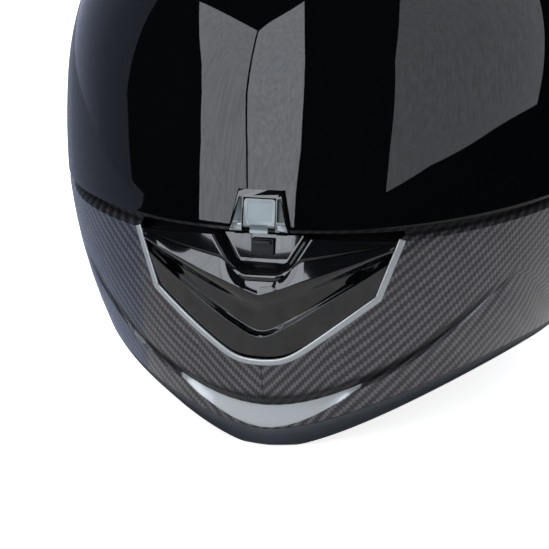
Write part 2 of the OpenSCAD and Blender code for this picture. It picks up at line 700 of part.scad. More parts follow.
module pivot_cap_right() { mirror([1, 0, 0]) pivot_cap(); }
module release_tab() {
    color("#7d1f1f") translate([flat_x + air, pivot_y - tab_w / 2, 0]) {
        translate([0, 0, tab_low]) cube([1.8, tab_w, tab_top - tab_low]);
        translate([0, 1, tab_low]) cube([tab_shelf, tab_w - 2, 2.2]);
    }
}
module release_tab_left() { release_tab(); }
module release_tab_right() { mirror([1, 0, 0]) release_tab(); }

// Brow vents: raised housings on the forehead with a sliding cover each
brow_t = 25;
brow_half = 13;
brow_lo = 219;
brow_hi = 245;
brow_up = 3.6;
// Gap under the fairings, and the thickness of their edges
shim = 0.5;
skirt = 0.6;
function brow_u(t) = (t - brow_t) / brow_half;
function brow_foot(t) = brow_lo + 5 * pow(brow_u(t), 2);
function brow_head(t) = brow_hi - 12 * pow(brow_u(t), 2);
function brow_d(t, z) = let (v = (z - brow_foot(t)) / (brow_head(t) - brow_foot(t)))
    shell_d(t, z) - shim - skirt - brow_up * ease(0, 0.4, 1 - abs(brow_u(t))) * ease(0, 0.22, v)
        * ease(0, 0.5, 1 - v);
module brow_vent() {
    color("#101113") difference() {
        patch(steps(brow_t - brow_half, brow_t + brow_half, 12), function(t) brow_foot(t),
            function(t) brow_head(t), 8, function(t, z) brow_d(t, z),
            function(t, z) shell_d(t, z) - shim);
        brow_hole();
    }
}
slider_lo = 225.2;
slider_hi = 231.2;
module brow_hole() {
    on_skin(brow_t, (slider_lo + slider_hi) / 2 - 0.4, step_crown) cube([6, 13, 24], center = true);
}
// The slider lies over the housing's opening and follows its flat top
module brow_slider() {
    color("#2c2e32") patch(steps(brow_t - 4.5, brow_t + 4.5, 6), function(t) slider_lo,
        function(t) slider_hi, 4,
        function(t, z) shell_d(t, z) - shim - skirt - brow_up - 1.2 - 0.5 * ease(1.1, 3.6, z - slider_lo),
        function(t, z) shell_d(t, z) - shim - skirt - brow_up - 0.35);
}
module brow_vent_left() { brow_vent(); }
module brow_vent_right() { mirror([1, 0, 0]) brow_vent(); }
module brow_slider_left() { brow_slider(); }
module brow_slider_right() { mirror([1, 0, 0]) brow_slider(); }

// Exhaust fairing at the crown's back
spoiler_t = 48;
spoiler_lo = 172;
spoiler_hi = 238;
spoiler_up = 10;
slider_w = 14;
slider_z = 193;
slider_h = 6;
function spoiler_u(t) = (t - 180) / spoiler_t;
function spoiler_foot(t) = spoiler_lo + 34 * pow(spoiler_u(t), 2);
function spoiler_head(t) = spoiler_hi - 22 * pow(spoiler_u(t), 2);
function spoiler_d(t, z) = let (v = (z - spoiler_foot(t)) / (spoiler_head(t) - spoiler_foot(t)))
    shell_d(t, z) - shim - skirt - spoiler_up * ease(0, 0.6, 1 - abs(spoiler_u(t))) * ease(0, 0.2, v)
        * ease(0, 0.95, 1 - v);
module rear_spoiler() {
    color("#101113") difference() {
        patch(steps(180 - spoiler_t, 180 + spoiler_t, 18), function(t) spoiler_foot(t),
            function(t) spoiler_head(t), 9, function(t, z) spoiler_d(t, z),
            function(t, z) shell_d(t, z) - shim);
        translate([0, back(slider_z, 0), slider_z + slider_h / 2])
            cube([2 * slider_w + 2, 60, slider_h + 0.8], center = true);
    }
}
// The shell's outlet, which the slide covers when it is pushed across
module spoiler_hole() {
    translate([slider_w / 2, back(slider_z, 0), slider_z + slider_h / 2])
        cube([slider_w - 2, 50, slider_h - 1.6], center = true);
}
module rear_vent_slider() {
    color("#2c2e32") translate([-slider_w, back(slider_z, shell_d(180, slider_z)) + 0.35, slider_z])
        cube([slider_w, spoiler_up - 1, slider_h]);
}
// Low outlets beside the neck
module exhaust_hole(g) {
    translate([44, 0, 78]) along(100, 200) hull() for (s = [-1, 1])
        translate([9 * s, -1.5 * s]) circle(5 + g, $fn = 32);
}
module exhaust_grille() {
    color("#17181a") resize([0, 0, 0]) intersection() {
        patch(steps(148, 176, 8), function(t) 66, function(t) 90, 3, function(t, z) -0.4,
            function(t, z) 3.6);
        difference() {
            exhaust_hole(-0.25);
            for (i = [-2:2]) translate([44 + 4.6 * i - 0.9, 100, 74.5 - 0.17 * 4.6 * i])
                cube([1.8, 100, 7]);
        }
    }
}
module exhaust_grille_left() { exhaust_grille(); }
module exhaust_grille_right() { mirror([1, 0, 0]) exhaust_grille(); }

// Foams and linings
function foam_low(t) = let (a = turn(t))
    a < 86 ? mix(199, 137, ease(46, 76, a)) : mix(137, 46, ease(112, 132, a));
foam_gap = 1.1;
pad_gap = 1.4;
function foam_in(t, z) = inner_d(t, z) + foam_gap + foam_t - 6 * (1 - ease(150, 210, z));
module impact_liner() {
    color("#2d2e30") crown_solid(36, 8, function(t) foam_low(t),
        function(t, z) inner_d(t, z) + foam_gap, function(t, z) foam_in(t, z));
}
module crown_pad() {
    color("#3b3d42") crown_solid(36, 8, function(t) foam_low(t) + mix(-3, 4, ease(60, 100, turn(t))),
        function(t, z) foam_in(t, z) + pad_gap, function(t, z) foam_in(t, z) + pad_gap + liner_t);
}
foam_end = 58;
module chin_foam() {
    color("#2d2e30") difference() {
        patch(steps(-foam_end, foam_end, 18), function(t) rim(t) + 14, function(t) 93, 4,
            function(t, z) wall + 2 * seat, function(t, z) wall + 2 * seat + chin_foam_t);
        translate([-duct_w - air, duct_y - 20, duct_low - air])
            cube([2 * (duct_w + air), 20 + duct_depth + air, duct_high - duct_low + 2 * air]);
        translate([-window_w, duct_y - 20, duct_z - window_h / 2])
            cube([2 * window_w, 60, window_h + shutter_travel - 4]);
        along(-front_y - 10, -130) vent_hole_outline(0.2);
    }
}
cheek_t0 = 36;
cheek_t1 = 84;
module cheek_foam() {
    color("#2d2e30") patch(steps(foam_end + 1.5, cheek_t1, 8), function(t) rim(t) + 8,
        function(t) mix(102, 132, ease(62, 82, t)), 6,
        function(t, z) wall + 2 * seat + step_side * ease(64, 84, z), function(t, z) cheek_foam_d);
}
module cheek_foam_left() { cheek_foam(); }
module cheek_foam_right() { mirror([1, 0, 0]) cheek_foam(); }
module cheek_pad() {
    color("#3b3d42") patch(steps(cheek_t0, cheek_t1, 10), function(t) rim(t) + 6,
        function(t) mix(105, 133, ease(50, 80, t)), 6, function(t, z) cheek_foam_d + pad_gap,
        function(t, z) cheek_pad_d - 8 * pow(abs(z - 90) / 50, 2));
}
module cheek_pad_left() { cheek_pad(); }
module cheek_pad_right() { mirror([1, 0, 0]) cheek_pad(); }
module neck_roll() {
    color("#3b3d42") patch(steps(106, 254, 18), function(t) rim(t) + 6, function(t) 45.4, 3,
        function(t, z) wall + 3 + seat,
        function(t, z) wall + 24 + 4 * ease(0, 1, (z - 20) / 25));
}
module chin_curtain() {
    function edge(t, v, up) = skin(t, rim(t) + up - 6 * v, wall + 3 + v * (3 + 35 * cos(90 * t / 54)));
    color("#26272a") grid_solid(
        [for (v = steps(0, 1, 3)) [for (t = steps(-52, 52, 16)) edge(t, v, 13.7)]],
        [for (v = steps(0, 1, 3)) [for (t = steps(-52, 52, 16)) edge(t, v, 12.2)]]);
}
module breath_guard() {
    color("#1a1b1d") grid_solid(
        [for (v = steps(0, 1, 4)) [for (t = steps(-30, 30, 10))
            skin(t, 93.3 + v * (24 - 10 * pow(t / 30, 2) - 6 * pow(cos(3 * t), 6)), 12 + 26 * v)]],
        [for (v = steps(0, 1, 4)) [for (t = steps(-30, 30, 10))
            skin(t, 93.3 + v * (24 - 10 * pow(t / 30, 2) - 6 * pow(cos(3 * t), 6)), 14 + 26 * v)]]);
}
module pad_snaps() {
    color("#c9ccd0") both_sides() for (t = [66, 78])
        on_skin(t, 70, cheek_foam_d + pad_gap / 2) cylinder(r = 4, h = 0.5, center = true);
}

// Chin strap, fastened under the chin. The points are on the wearer's left.
// Its upper points lie this far in from the side at their height.
strap_side = [[12.3, 12, 90], [9.7, 12, 70], [17.2, 12, 50], [26.4, 9, 35], [37.3, 0, 24]];
strap_path = concat([for (p = strap_side) [side(p.z, 0) - p.x, p.y, p.z]],
    [[51, -14, 15.5], [44, -20.5, 12.3], [37.5, -22, 10.6], [30, -22, 10.6]]);
rivet_r = 3;
function anchor_place() = [skin(92, 80, wall).x, 12, 80];
// Corner directions of a flat band along a path: along it, across it and out of its face
function band(pts, i) = let (
        a = pts[max(0, i - 1)], b = pts[min(len(pts) - 1, i + 1)], v = (b - a) / norm(b - a),
        wide = [0, 1, 0] - v * v.y, u = wide / norm(wide))
    [u, cross(v, u)];
function band_ring(pts, i, w, h, n) = let (f = band(pts, i))
    [for (j = [0:n - 1]) let (
            q = 360 * (j + 0.5) / n,
            cx = sign(cos(q)) * pow(abs(cos(q)), 0.35),
            cy = sign(sin(q)) * pow(abs(sin(q)), 0.8))
        pts[i] + f[0] * cx * w / 2 + f[1] * cy * h / 2];
module strap_half(pts) {
    color("#17181a") ring_solid([for (i = [0:len(pts) - 1]) let (f = band(pts, i),
            u = f[0] * strap_w / 2, n = f[1] * strap_t / 2)
        [pts[i] - u - n, pts[i] + u - n, pts[i] + u + n, pts[i] - u + n]]);
}
module strap_left() { strap_half(strap_path); }
module strap_right() { mirror([1, 0, 0]) strap_half(strap_path); }
sleeve_w = 30;
sleeve_t = 7;
module strap_sleeve(pts) {
    rows = [2, 3, 4, 5];
    color("#222327") grid_solid([for (i = rows) band_ring(pts, i, sleeve_w, sleeve_t, 14)],
        [for (i = rows) band_ring(pts, i, strap_w + 2.5, strap_t + 1.6, 14)], true);
}
module strap_sleeve_left() { strap_sleeve(strap_path); }
module strap_sleeve_right() { mirror([1, 0, 0]) strap_sleeve(strap_path); }
module strap_anchors() {
    color("#b8bcc0") both_sides() translate(anchor_place()) rotate([0, 90, 0]) {
        translate([0, 0, -wall]) cylinder(r = rivet_r, h = wall + 1.5);
        translate([0, 0, -wall - 0.4]) cylinder(r = rivet_r + 2.5, h = 0.8);
    }
}

// Ratchet buckle under the chin: a body on the left half, a toothed tongue on the right half
buckle_x = 20;
buckle_y = -22;
buckle_z = 10;
buckle_l = 30;
buckle_wall = 1.8;
buckle_w = strap_w + 2 * buckle_wall + 2;
tongue_w = strap_w - 4;
tongue_t = 2;
tooth = 2.4;
buckle_pin_r = 1;
buckle_pin_x = 9;
buckle_pin_z = 5.2;
module buckle_place() { translate([buckle_x, buckle_y, buckle_z]) children(); }
module buckle_body() {
    color("#b8bcc0") buckle_place() difference() {
        union() {
            translate([-buckle_l / 2, -buckle_w / 2, -3]) cube([buckle_l, buckle_w, 2]);
            for (s = [-1, 1]) translate([-buckle_l / 2 + 6, s * (buckle_w / 2 - buckle_wall / 2)
                - buckle_wall / 2, -3]) cube([buckle_l - 6, buckle_wall, 10]);
        }
        translate([buckle_pin_x, 0, buckle_pin_z]) rotate([90, 0, 0])
            cylinder(r = buckle_pin_r, h = 2 * buckle_w, center = true);
    }
}
module buckle_pin() {
    color("#9a9da2") buckle_place() translate([buckle_pin_x, 0, buckle_pin_z]) rotate([90, 0, 0])
        cylinder(r = buckle_pin_r, h = buckle_w, center = true);
}
module buckle_tongue() {
    x0 = -strap_path[len(strap_path) - 1].x + 0.3;
    x1 = buckle_x + 4;
    color("#2b2c30") translate([0, buckle_y - tongue_w / 2, buckle_z - 0.8]) {
        translate([x0, 0, 0]) cube([x1 - x0, tongue_w, tongue_t]);
        for (x = [x1 - 10 * tooth:tooth:x1 - 2 * tooth]) translate([x, tongue_w, tongue_t - 0.01])
            rotate([90, 0, 0]) linear_extrude(tongue_w) polygon([[0, 0], [tooth, 0], [tooth, 1]]);
    }
}
module buckle_lever() {
    w = buckle_w - 2 * buckle_wall - 2 * air;
    nose_z = 1.2 + tongue_t - buckle_pin_z;
    color("#8c1a1a") buckle_place() translate([buckle_pin_x, 0, buckle_pin_z]) difference() {
        union() {
            rotate([90, 0, 0]) cylinder(r = 2.2, h = w, center = true);
            translate([-buckle_l + 8, -w / 2, 0.2]) cube([buckle_l - 8, w, 2]);
            translate([-9, 0, 0]) rotate([90, 0, 0]) linear_extrude(w - 2, center = true)
                polygon([[0, 1], [4, 1], [3.4, nose_z], [2.6, nose_z]]);
        }
        rotate([90, 0, 0]) cylinder(r = buckle_pin_r + pin_fit, h = 2 * w, center = true);
    }
}

outer_shell();
edge_trim();
eyeport_gasket();
visor();
visor_bushes();
antifog_lens();
lens_pins();
latch_frame();
latch_pin();
latch_lever();
latch_catch();
chin_vent_cover();
chin_vent_scoop();
chin_vent_bezel();
chin_vent_duct();
chin_vent_mesh();
chin_vent_shutter();
visor_base_left();
visor_base_right();
base_screws();
pivot_cap_left();
pivot_cap_right();
release_tab_left();
release_tab_right();
brow_vent_left();
brow_vent_right();
brow_slider_left();
brow_slider_right();
rear_spoiler();
rear_vent_slider();
exhaust_grille_left();
exhaust_grille_right();
impact_liner();
chin_foam();
cheek_foam_left();
cheek_foam_right();
cheek_pad_left();
cheek_pad_right();
crown_pad();
neck_roll();
chin_curtain();
breath_guard();
pad_snaps();
strap_left();
strap_right();
strap_sleeve_left();
strap_sleeve_right();
strap_anchors();
buckle_body();
buckle_lever();
buckle_pin();
buckle_tongue();
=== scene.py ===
# Full face motorcycle helmet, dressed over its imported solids.
# Sizes are worked out in millimetres, as in the part's source, and go into the meshes in metres.
import math

import bpy
import numpy as np
from mathutils import Matrix
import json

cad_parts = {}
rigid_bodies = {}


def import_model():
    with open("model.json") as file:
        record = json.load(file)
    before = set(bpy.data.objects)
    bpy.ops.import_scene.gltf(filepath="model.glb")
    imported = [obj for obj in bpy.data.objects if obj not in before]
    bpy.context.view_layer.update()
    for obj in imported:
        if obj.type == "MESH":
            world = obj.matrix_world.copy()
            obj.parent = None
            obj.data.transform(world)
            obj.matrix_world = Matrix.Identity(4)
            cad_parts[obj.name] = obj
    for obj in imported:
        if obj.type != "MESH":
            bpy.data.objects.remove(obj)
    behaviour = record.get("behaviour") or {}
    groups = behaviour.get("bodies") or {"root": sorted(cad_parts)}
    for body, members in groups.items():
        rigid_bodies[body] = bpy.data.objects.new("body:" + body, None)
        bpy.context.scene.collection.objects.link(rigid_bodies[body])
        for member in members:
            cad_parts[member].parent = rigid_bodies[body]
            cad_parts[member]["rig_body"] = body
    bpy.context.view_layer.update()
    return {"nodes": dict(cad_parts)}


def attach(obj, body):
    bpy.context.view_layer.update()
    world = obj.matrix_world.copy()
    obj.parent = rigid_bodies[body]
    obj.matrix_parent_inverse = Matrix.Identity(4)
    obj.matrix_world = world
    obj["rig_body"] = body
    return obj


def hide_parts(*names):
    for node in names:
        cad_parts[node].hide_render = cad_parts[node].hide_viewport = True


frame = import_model()
MM = 0.001


# The helmet's surface: t is the angle from the front in degrees, z the height and d the depth under it

def ease(a, b, x):
    u = np.clip((x - a) / (b - a), 0, 1)
    return u * u * (3 - 2 * u)


def mix(a, b, u):
    return a + (b - a) * u


def turn(t):
    return np.abs((np.asarray(t, float) + 540) % 360 - 180)


def sin_d(a):
    return np.sin(np.radians(a))


def cos_d(a):
    return np.cos(np.radians(a))


HALF_W, FRONT_Y, REAR_Y, CROWN_Z = 126.0, 162.0, 163.2, 258.0  # the surface's reach and its top
WIDE_Z, CHIN_Z, BACK_Z = 140.0, 62.0, 130.0  # heights at which it is widest, foremost and rearmost
SIDE_TUCK, CHIN_TUCK, BACK_TUCK, MID_Y = 38.0, 15.0, 48.0, 8.0  # how far it draws in toward the floor
WALL = 4.5  # thickness of the laid-up shell
STEP_FRONT, STEP_SIDE, STEP_CROWN = 5.5, 6.4, 5.0  # how deep the shell lies behind the visor
SEAT = 0.4  # gap between pieces that sit on each other
VISOR_LOW, VISOR_HIGH, VISOR_T, LEDGE_GAP = 101.5, 205.0, 2.2, 6.0
PIVOT_Y, PIVOT_Z, EAR_R = 4.4, 142.0, 35.0  # the visor's pivot, and the radius of its ears
EVEN, LEAN_BACK, BLUNT = 2.2, 0.03, 1.88  # the plan's rear exponent, drift with height, chin's exponent


def dome(a, e):
    return np.maximum(0, 1 - np.maximum(a, 0) ** e) ** (1 / e)


def side(z, d):
    low = HALF_W - d - SIDE_TUCK * (np.maximum(WIDE_Z - z, 0) / WIDE_Z) ** 2.3
    return np.where(z <= WIDE_Z, low, (HALF_W - d) * dome((z - WIDE_Z) / (CROWN_Z - d - WIDE_Z), 2.2))


def front(z, d):
    low = d - FRONT_Y + CHIN_TUCK * (np.maximum(CHIN_Z - z, 0) / CHIN_Z) ** 1.6
    high = MID_Y - (FRONT_Y + MID_Y - d) * dome((z - CHIN_Z) / (CROWN_Z - d - CHIN_Z), 2.15)
    return np.where(z <= CHIN_Z, low, high)


def back(z, d):
    low = REAR_Y - d - BACK_TUCK * (np.maximum(BACK_Z - z, 0) / BACK_Z) ** 2
    high = MID_Y + (REAR_Y - MID_Y - d) * dome((z - BACK_Z) / (CROWN_Z - d - BACK_Z), 2.3)
    return np.where(z <= BACK_Z, low, high)


def nose(z):
    """Exponent of the front half's plan, which is blunter the higher it is."""
    return BLUNT + (EVEN - BLUNT) * np.clip(z / 104, 0, 1)


def skin(t, z, d=0.0):
    """Points of the surface, with x, y and z on the last axis."""
    t, z, d = np.broadcast_arrays(np.asarray(t, float), np.asarray(z, float), np.asarray(d, float))
    s, c = sin_d(t), cos_d(t)
    n = np.where(c > 0, nose(z), EVEN)
    y0 = LEAN_BACK * z
    x = side(z, d) * np.sign(s) * np.abs(s) ** (2 / n)
    reach = np.abs(c) ** (2 / n)
    y = np.where(c > 0, y0 - (y0 - front(z, d)) * reach, y0 + (back(z, d) - y0) * reach)
    return np.stack([x, y, z], -1)


def face_y(x, z, d=0.0):
    y0, n = LEAN_BACK * z, nose(z)
    return y0 - (y0 - front(z, d)) * np.maximum(0, 1 - (np.abs(x) / side(z, d)) ** n) ** (1 / n)


def rim(t):
    """Height of the shell's lower edge: low at chin and nape, and high under the ears."""
    a = turn(t)
    ahead = 9 + 27 * sin_d(np.minimum(90, a * 90 / 72)) ** 1.7
    behind = 10 + 26 * cos_d(np.clip((a - 105) * 90 / 75, 0, 90)) ** 2
    return np.where(a <= 90, ahead, behind)


def visor_edge(t):
    """Height of the visor's lower edge."""
    return VISOR_LOW + 3 * sin_d(t) ** 2


def ledge(t):
    """Height at which the shell steps back behind the visor."""
    return visor_edge(t) - LEDGE_GAP + (LEDGE_GAP - 3.5) * sin_d(t) ** 2


def shell_d(t, z):
    """Depth of the shell's outer face, which lies behind the visor and under the crown's surface."""
    a = turn(t)
    soft = mix(1.0, 22, ease(106, 135, a))
    step = mix(mix(STEP_FRONT, STEP_SIDE, sin_d(np.minimum(a, 90)) ** 2), 0, ease(106, 150, a))
    return mix(mix(0, step, ease(ledge(t) - soft, ledge(t) + soft, z)), STEP_CROWN, ease(185, 235, z))


def inner_d(t, z):
    return shell_d(t, z) + WALL


# Fold round the chin bar: an undercut over a flank, which widens to a dish at the middle
FOLD_D, FOLD_Z, FOLD_HALF, FOLD_END = 3.3, 22.5, 2.5, 56.0


def fold_taper(t):
    """How strong the fold is: whole in the middle and nothing at its ends."""
    return np.maximum(0, 1 - (turn(t) / FOLD_END) ** 2) ** 0.7


def fold_line(t):
    return FOLD_Z + 0.0165 * np.minimum(turn(t), FOLD_END) ** 2


def fold_top(t):
    return fold_line(t) + FOLD_HALF * np.maximum(0.4, fold_taper(t))


def fold_foot(t):
    return fold_line(t) - FOLD_HALF * np.maximum(0.4, fold_taper(t))


def dish_edge(t):
    """Height of the dish's lower edge."""
    return np.minimum(fold_foot(t) - 2, 9.8 + 0.033 * turn(t) ** 2)


def fold_depth(t, z):
    flank = np.clip((z - dish_edge(t)) / (fold_foot(t) - dish_edge(t)), 0, 1)
    under = 1 - ease(fold_foot(t), fold_top(t), z)
    return FOLD_D * fold_taper(t) * np.where(z >= fold_foot(t), under, flank)


# Working with meshes

def only(ob):
    bpy.ops.object.select_all(action="DESELECT")
    ob.select_set(True)
    bpy.context.view_layer.objects.active = ob


def points(ob):
    co = np.empty(len(ob.data.vertices) * 3)
    ob.data.vertices.foreach_get("co", co)
    return co.reshape(-1, 3)


def place(ob, co):
    ob.data.vertices.foreach_set("co", np.asarray(co, float).ravel())
    ob.data.update()


def modify(ob, kind, **settings):
    """Adds a modifier with its settings and applies it."""
    only(ob)
    mod = ob.modifiers.new(kind.title(), kind)
    for key, value in settings.items():
        setattr(mod, key, value)
    bpy.ops.object.modifier_apply(modifier=mod.name)


def edit(ob, *steps):
    """Runs edit mode operators on the whole of a mesh."""
    only(ob)
    bpy.ops.object.mode_set(mode="EDIT")
    bpy.ops.mesh.select_all(action="SELECT")
    for operator, settings in steps:
        operator(**settings)
    bpy.ops.object.mode_set(mode="OBJECT")


def outward(ob, gap=1e-6):
    edit(ob, (bpy.ops.mesh.remove_doubles, {"threshold": gap}), (bpy.ops.mesh.delete_loose, {}),
         (bpy.ops.mesh.normals_make_consistent, {"inside": False}))
    ob.data.calc_loop_triangles()
    corners = np.empty(len(ob.data.loop_triangles) * 3, int)
    ob.data.loop_triangles.foreach_get("vertices", corners)
    p = points(ob)[corners.reshape(-1, 3)]
    if np.einsum("ij,ij->i", p[:, 0], np.cross(p[:, 1], p[:, 2])).sum() < 0:
        edit(ob, (bpy.ops.mesh.flip_normals, {}))


def soften(ob, width=0.4, segments=2, limit=50, smooth=32):
    """Rounds the sharp edges by a bevel of that width in mm and shades the rest smooth."""
    if width:
        modify(ob, "BEVEL", width=width * MM, segments=segments, limit_method="ANGLE",
               angle_limit=math.radians(limit), use_clamp_overlap=True)
    only(ob)
    bpy.ops.object.shade_smooth_by_angle(angle=math.radians(smooth))


def lattice(name, rows, cols, wrap=""):
    """A grid primitive and the row and column of each of its points.
    wrap "tube" joins its last column to the first, and "ring" its last row as well."""
    bpy.ops.object.select_all(action="DESELECT")
    x_cells, y_cells = cols - (wrap == ""), rows - (wrap != "ring")
    bpy.ops.mesh.primitive_grid_add(x_subdivisions=x_cells, y_subdivisions=y_cells, size=2)
    ob = bpy.context.object
    ob.name = ob.data.name = name
    co = points(ob)
    u, v = (co[:, 0] + 1) / 2 * x_cells, (co[:, 1] + 1) / 2 * y_cells
    if wrap == "":
        return ob, np.rint(v).astype(int), np.rint(u).astype(int)
    a = 2 * np.pi * u / cols
    if wrap == "tube":
        place(ob, np.stack([np.cos(a), np.sin(a), v / rows], -1))
    else:
        b = 2 * np.pi * v / rows
        place(ob, np.stack([(3 + np.cos(b)) * np.cos(a), (3 + np.cos(b)) * np.sin(a), np.sin(b)], -1))
    edit(ob, (bpy.ops.mesh.remove_doubles, {"threshold": 1e-4}))
    co = points(ob)
    j = np.rint(np.arctan2(co[:, 1], co[:, 0]) / (2 * np.pi) * cols).astype(int) % cols
    if wrap == "tube":
        return ob, np.rint(co[:, 2] * rows).astype(int), j
    b = np.arctan2(co[:, 2], np.hypot(co[:, 0], co[:, 1]) - 3)
    return ob, np.rint(b / (2 * np.pi) * rows).astype(int) % rows, j


def lay_weave(ob, i, j, maps, split=0):
    """Lays the cloth's coordinates, in mm, on a grid: maps[0] below the row split, maps[-1] from it on.
    A wrapped grid's maps have one column more than the grid, which closes the round."""
    loops = np.empty(len(ob.data.loops), int)
    ob.data.loops.foreach_get("vertex_index", loops)
    quads = loops.reshape(-1, 4)
    rows, cols = i[quads], j[quads]
    last = maps[0].shape[1] - 1
    cols = np.where((np.ptp(cols, axis=1) > 1)[:, None] & (cols == 0), last, cols)
    high = (rows.min(1) >= split)[:, None, None]
    uv = np.where(high, maps[-1][rows, cols], maps[0][rows, cols])
    layer = ob.data.uv_layers.get("weave") or ob.data.uv_layers.new(name="weave")
    layer.data.foreach_set("uv", (uv * MM).ravel())
    ob.data.uv_layers.active = layer


def slab(name, outer, inner, wrap="", weave=None):
    """A solid between two grids of points: the outer one is thickened and laid on the inner one."""
    ob, i, j = lattice(name, outer.shape[0], outer.shape[1], wrap)
    if weave is not None:
        lay_weave(ob, i, j, *weave)
    modify(ob, "SOLIDIFY", thickness=0.001, offset=-1)
    place(ob, np.concatenate([outer[i, j], inner[i, j]]) * MM)
    outward(ob)
    return ob


def patch(name, ts, low, high, rows, d_out, d_in):
    """A slab of the helmet's surface between two depths."""
    v = np.asarray(rows, float)[:, None] if np.ndim(rows) else np.linspace(0, 1, rows)[:, None]
    z = mix(low(ts)[None, :], high(ts)[None, :], v)
    t = np.broadcast_to(ts[None, :], z.shape)
    return slab(name, skin(t, z, d_out(t, z)), skin(t, z, d_in(t, z)))


def steady(value):
    """A height or depth that is the same everywhere."""
    return lambda t, z=0: value + 0 * t


def lengths(path):
    """Distance along a path to each of its points."""
    return np.concatenate([[0], np.cumsum(np.linalg.norm(np.diff(path, axis=0), axis=1))])


def swept(name, sections, closed=False, weave=None):
    """A solid through rings of points, one to a station. closed joins the last station to the first."""
    ob, i, j = lattice(name, sections.shape[0], sections.shape[1], "ring" if closed else "tube")
    if weave is not None:
        lay_weave(ob, i, j, [weave])
    place(ob, sections[i, j] * MM)
    if not closed:
        edit(ob, (bpy.ops.mesh.fill_holes, {"sides": 0}))
    outward(ob)
    return ob


def fillet(corners, radii, arc=4):
    """Rounds the corners of a closed outline by short curves that start their radius before them."""
    before, after = np.roll(corners, 1, axis=-2), np.roll(corners, -1, axis=-2)
    out = []
    for k, r in enumerate(radii):
        p, a, b = corners[..., k, :], before[..., k, :], after[..., k, :]
        la = np.linalg.norm(a - p, axis=-1, keepdims=True)
        lb = np.linalg.norm(b - p, axis=-1, keepdims=True)
        start = p + (a - p) * np.minimum(0.45, r / np.maximum(la, 1e-6))
        end = p + (b - p) * np.minimum(0.45, r / np.maximum(lb, 1e-6))
        for u in np.linspace(0, 1, arc + 1):
            out.append((1 - u) ** 2 * start + 2 * u * (1 - u) * p + u * u * end)
    return np.stack(out, axis=-2)


def prism(name, outline, axis, low, high):
    """An outline drawn in the plane across an axis and pulled from low to high along it, in mm."""
    bpy.ops.object.select_all(action="DESELECT")
    bpy.ops.mesh.primitive_circle_add(vertices=len(outline), fill_type="NGON")
    ob = bpy.context.object
    ob.name = ob.data.name = name
    flat = np.asarray(outline, float)
    co = np.insert(flat, axis, low, axis=1)
    place(ob, co * MM)
    pull = [0.0, 0.0, 0.0]
    pull[axis] = (high - low) * MM
    edit(ob, (bpy.ops.mesh.extrude_region_move, {"TRANSFORM_OT_translate": {"value": pull}}))
    outward(ob)
    return ob


def combine(ob, other, operation="DIFFERENCE"):
    """Cuts, keeps or joins a piece with another, which is used up."""
    modify(ob, "BOOLEAN", object=other, operation=operation, solver="EXACT")
    bpy.data.objects.remove(other)


def joined(obs):
    """Several pieces as one mesh."""
    bpy.ops.object.select_all(action="DESELECT")
    for ob in obs:
        ob.select_set(True)
    bpy.context.view_layer.objects.active = obs[0]
    bpy.ops.object.join()
    return obs[0]


def mirrored(ob, name):
    """A copy of a piece on the other side of the helmet."""
    twin = ob.copy()
    twin.data = ob.data.copy()
    twin.name = twin.data.name = name
    bpy.context.collection.objects.link(twin)
    place(twin, points(twin) * [-1, 1, 1])
    edit(twin, (bpy.ops.mesh.flip_normals, {}))
    return twin


def fit(ob, finish, node):
    """Gives a piece its finish, and its place in the assembly as the node that it stands for."""
    ob.data.materials.clear()
    ob.data.materials.append(finish)
    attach(ob, frame["nodes"][node]["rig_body"])
    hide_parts(node)


def fit_pair(left, twin, finish, node):
    """Fits the left one of a pair and its mirror image, which gets the name twin."""
    right = mirrored(left, twin)
    fit(left, finish, node + "_left")
    fit(right, finish, node + "_right")
    return left, right


def dressed(node, finish, width=0.3, segments=3, limit=40):
    """A merged copy of a node with its edges eased, which stands for it."""
    ob = frame["nodes"][node].copy()
    ob.data = ob.data.copy()
    ob.name = ob.data.name = node + "_eased"
    ob.parent = None
    for key in list(ob.keys()):
        del ob[key]
    bpy.context.collection.objects.link(ob)
    only(ob)
    bpy.ops.mesh.customdata_custom_splitnormals_clear()
    edit(ob, (bpy.ops.mesh.remove_doubles, {"threshold": 1e-6}),
         (bpy.ops.mesh.dissolve_limited, {"angle_limit": math.radians(0.6)}))
    soften(ob, width, segments, limit)
    fit(ob, finish, node)
    return ob


# Finishes

def colour(code):
    """sRGB hex to a linear colour."""
    v = [int(code[k:k + 2], 16) / 255 for k in (1, 3, 5)]
    return [c / 12.92 if c <= 0.04045 else ((c + 0.055) / 1.055) ** 2.4 for c in v] + [1]


def add(tree, kind, inputs=None, **settings):
    """Adds a node with its settings, its values and its links."""
    node = tree.nodes.new("ShaderNode" + kind)
    for key, value in settings.items():
        setattr(node, key, value)
    for key, value in (inputs or {}).items():
        if isinstance(value, bpy.types.NodeSocket):
            tree.links.new(value, node.inputs[key])
        else:
            node.inputs[key].default_value = value
    return node


def finish(name, base, rough, **sockets):
    """A principled finish. Returns the material, its node tree and its shader."""
    mat = bpy.data.materials.new(name)
    mat.use_nodes = True
    tree = mat.node_tree
    shader = tree.nodes["Principled BSDF"]
    shader.inputs["Base Color"].default_value = colour(base)
    shader.inputs["Roughness"].default_value = rough
    for key, value in sockets.items():
        shader.inputs[key.replace("_", " ").title().replace("Ior", "IOR")].default_value = value
    return mat, tree, shader


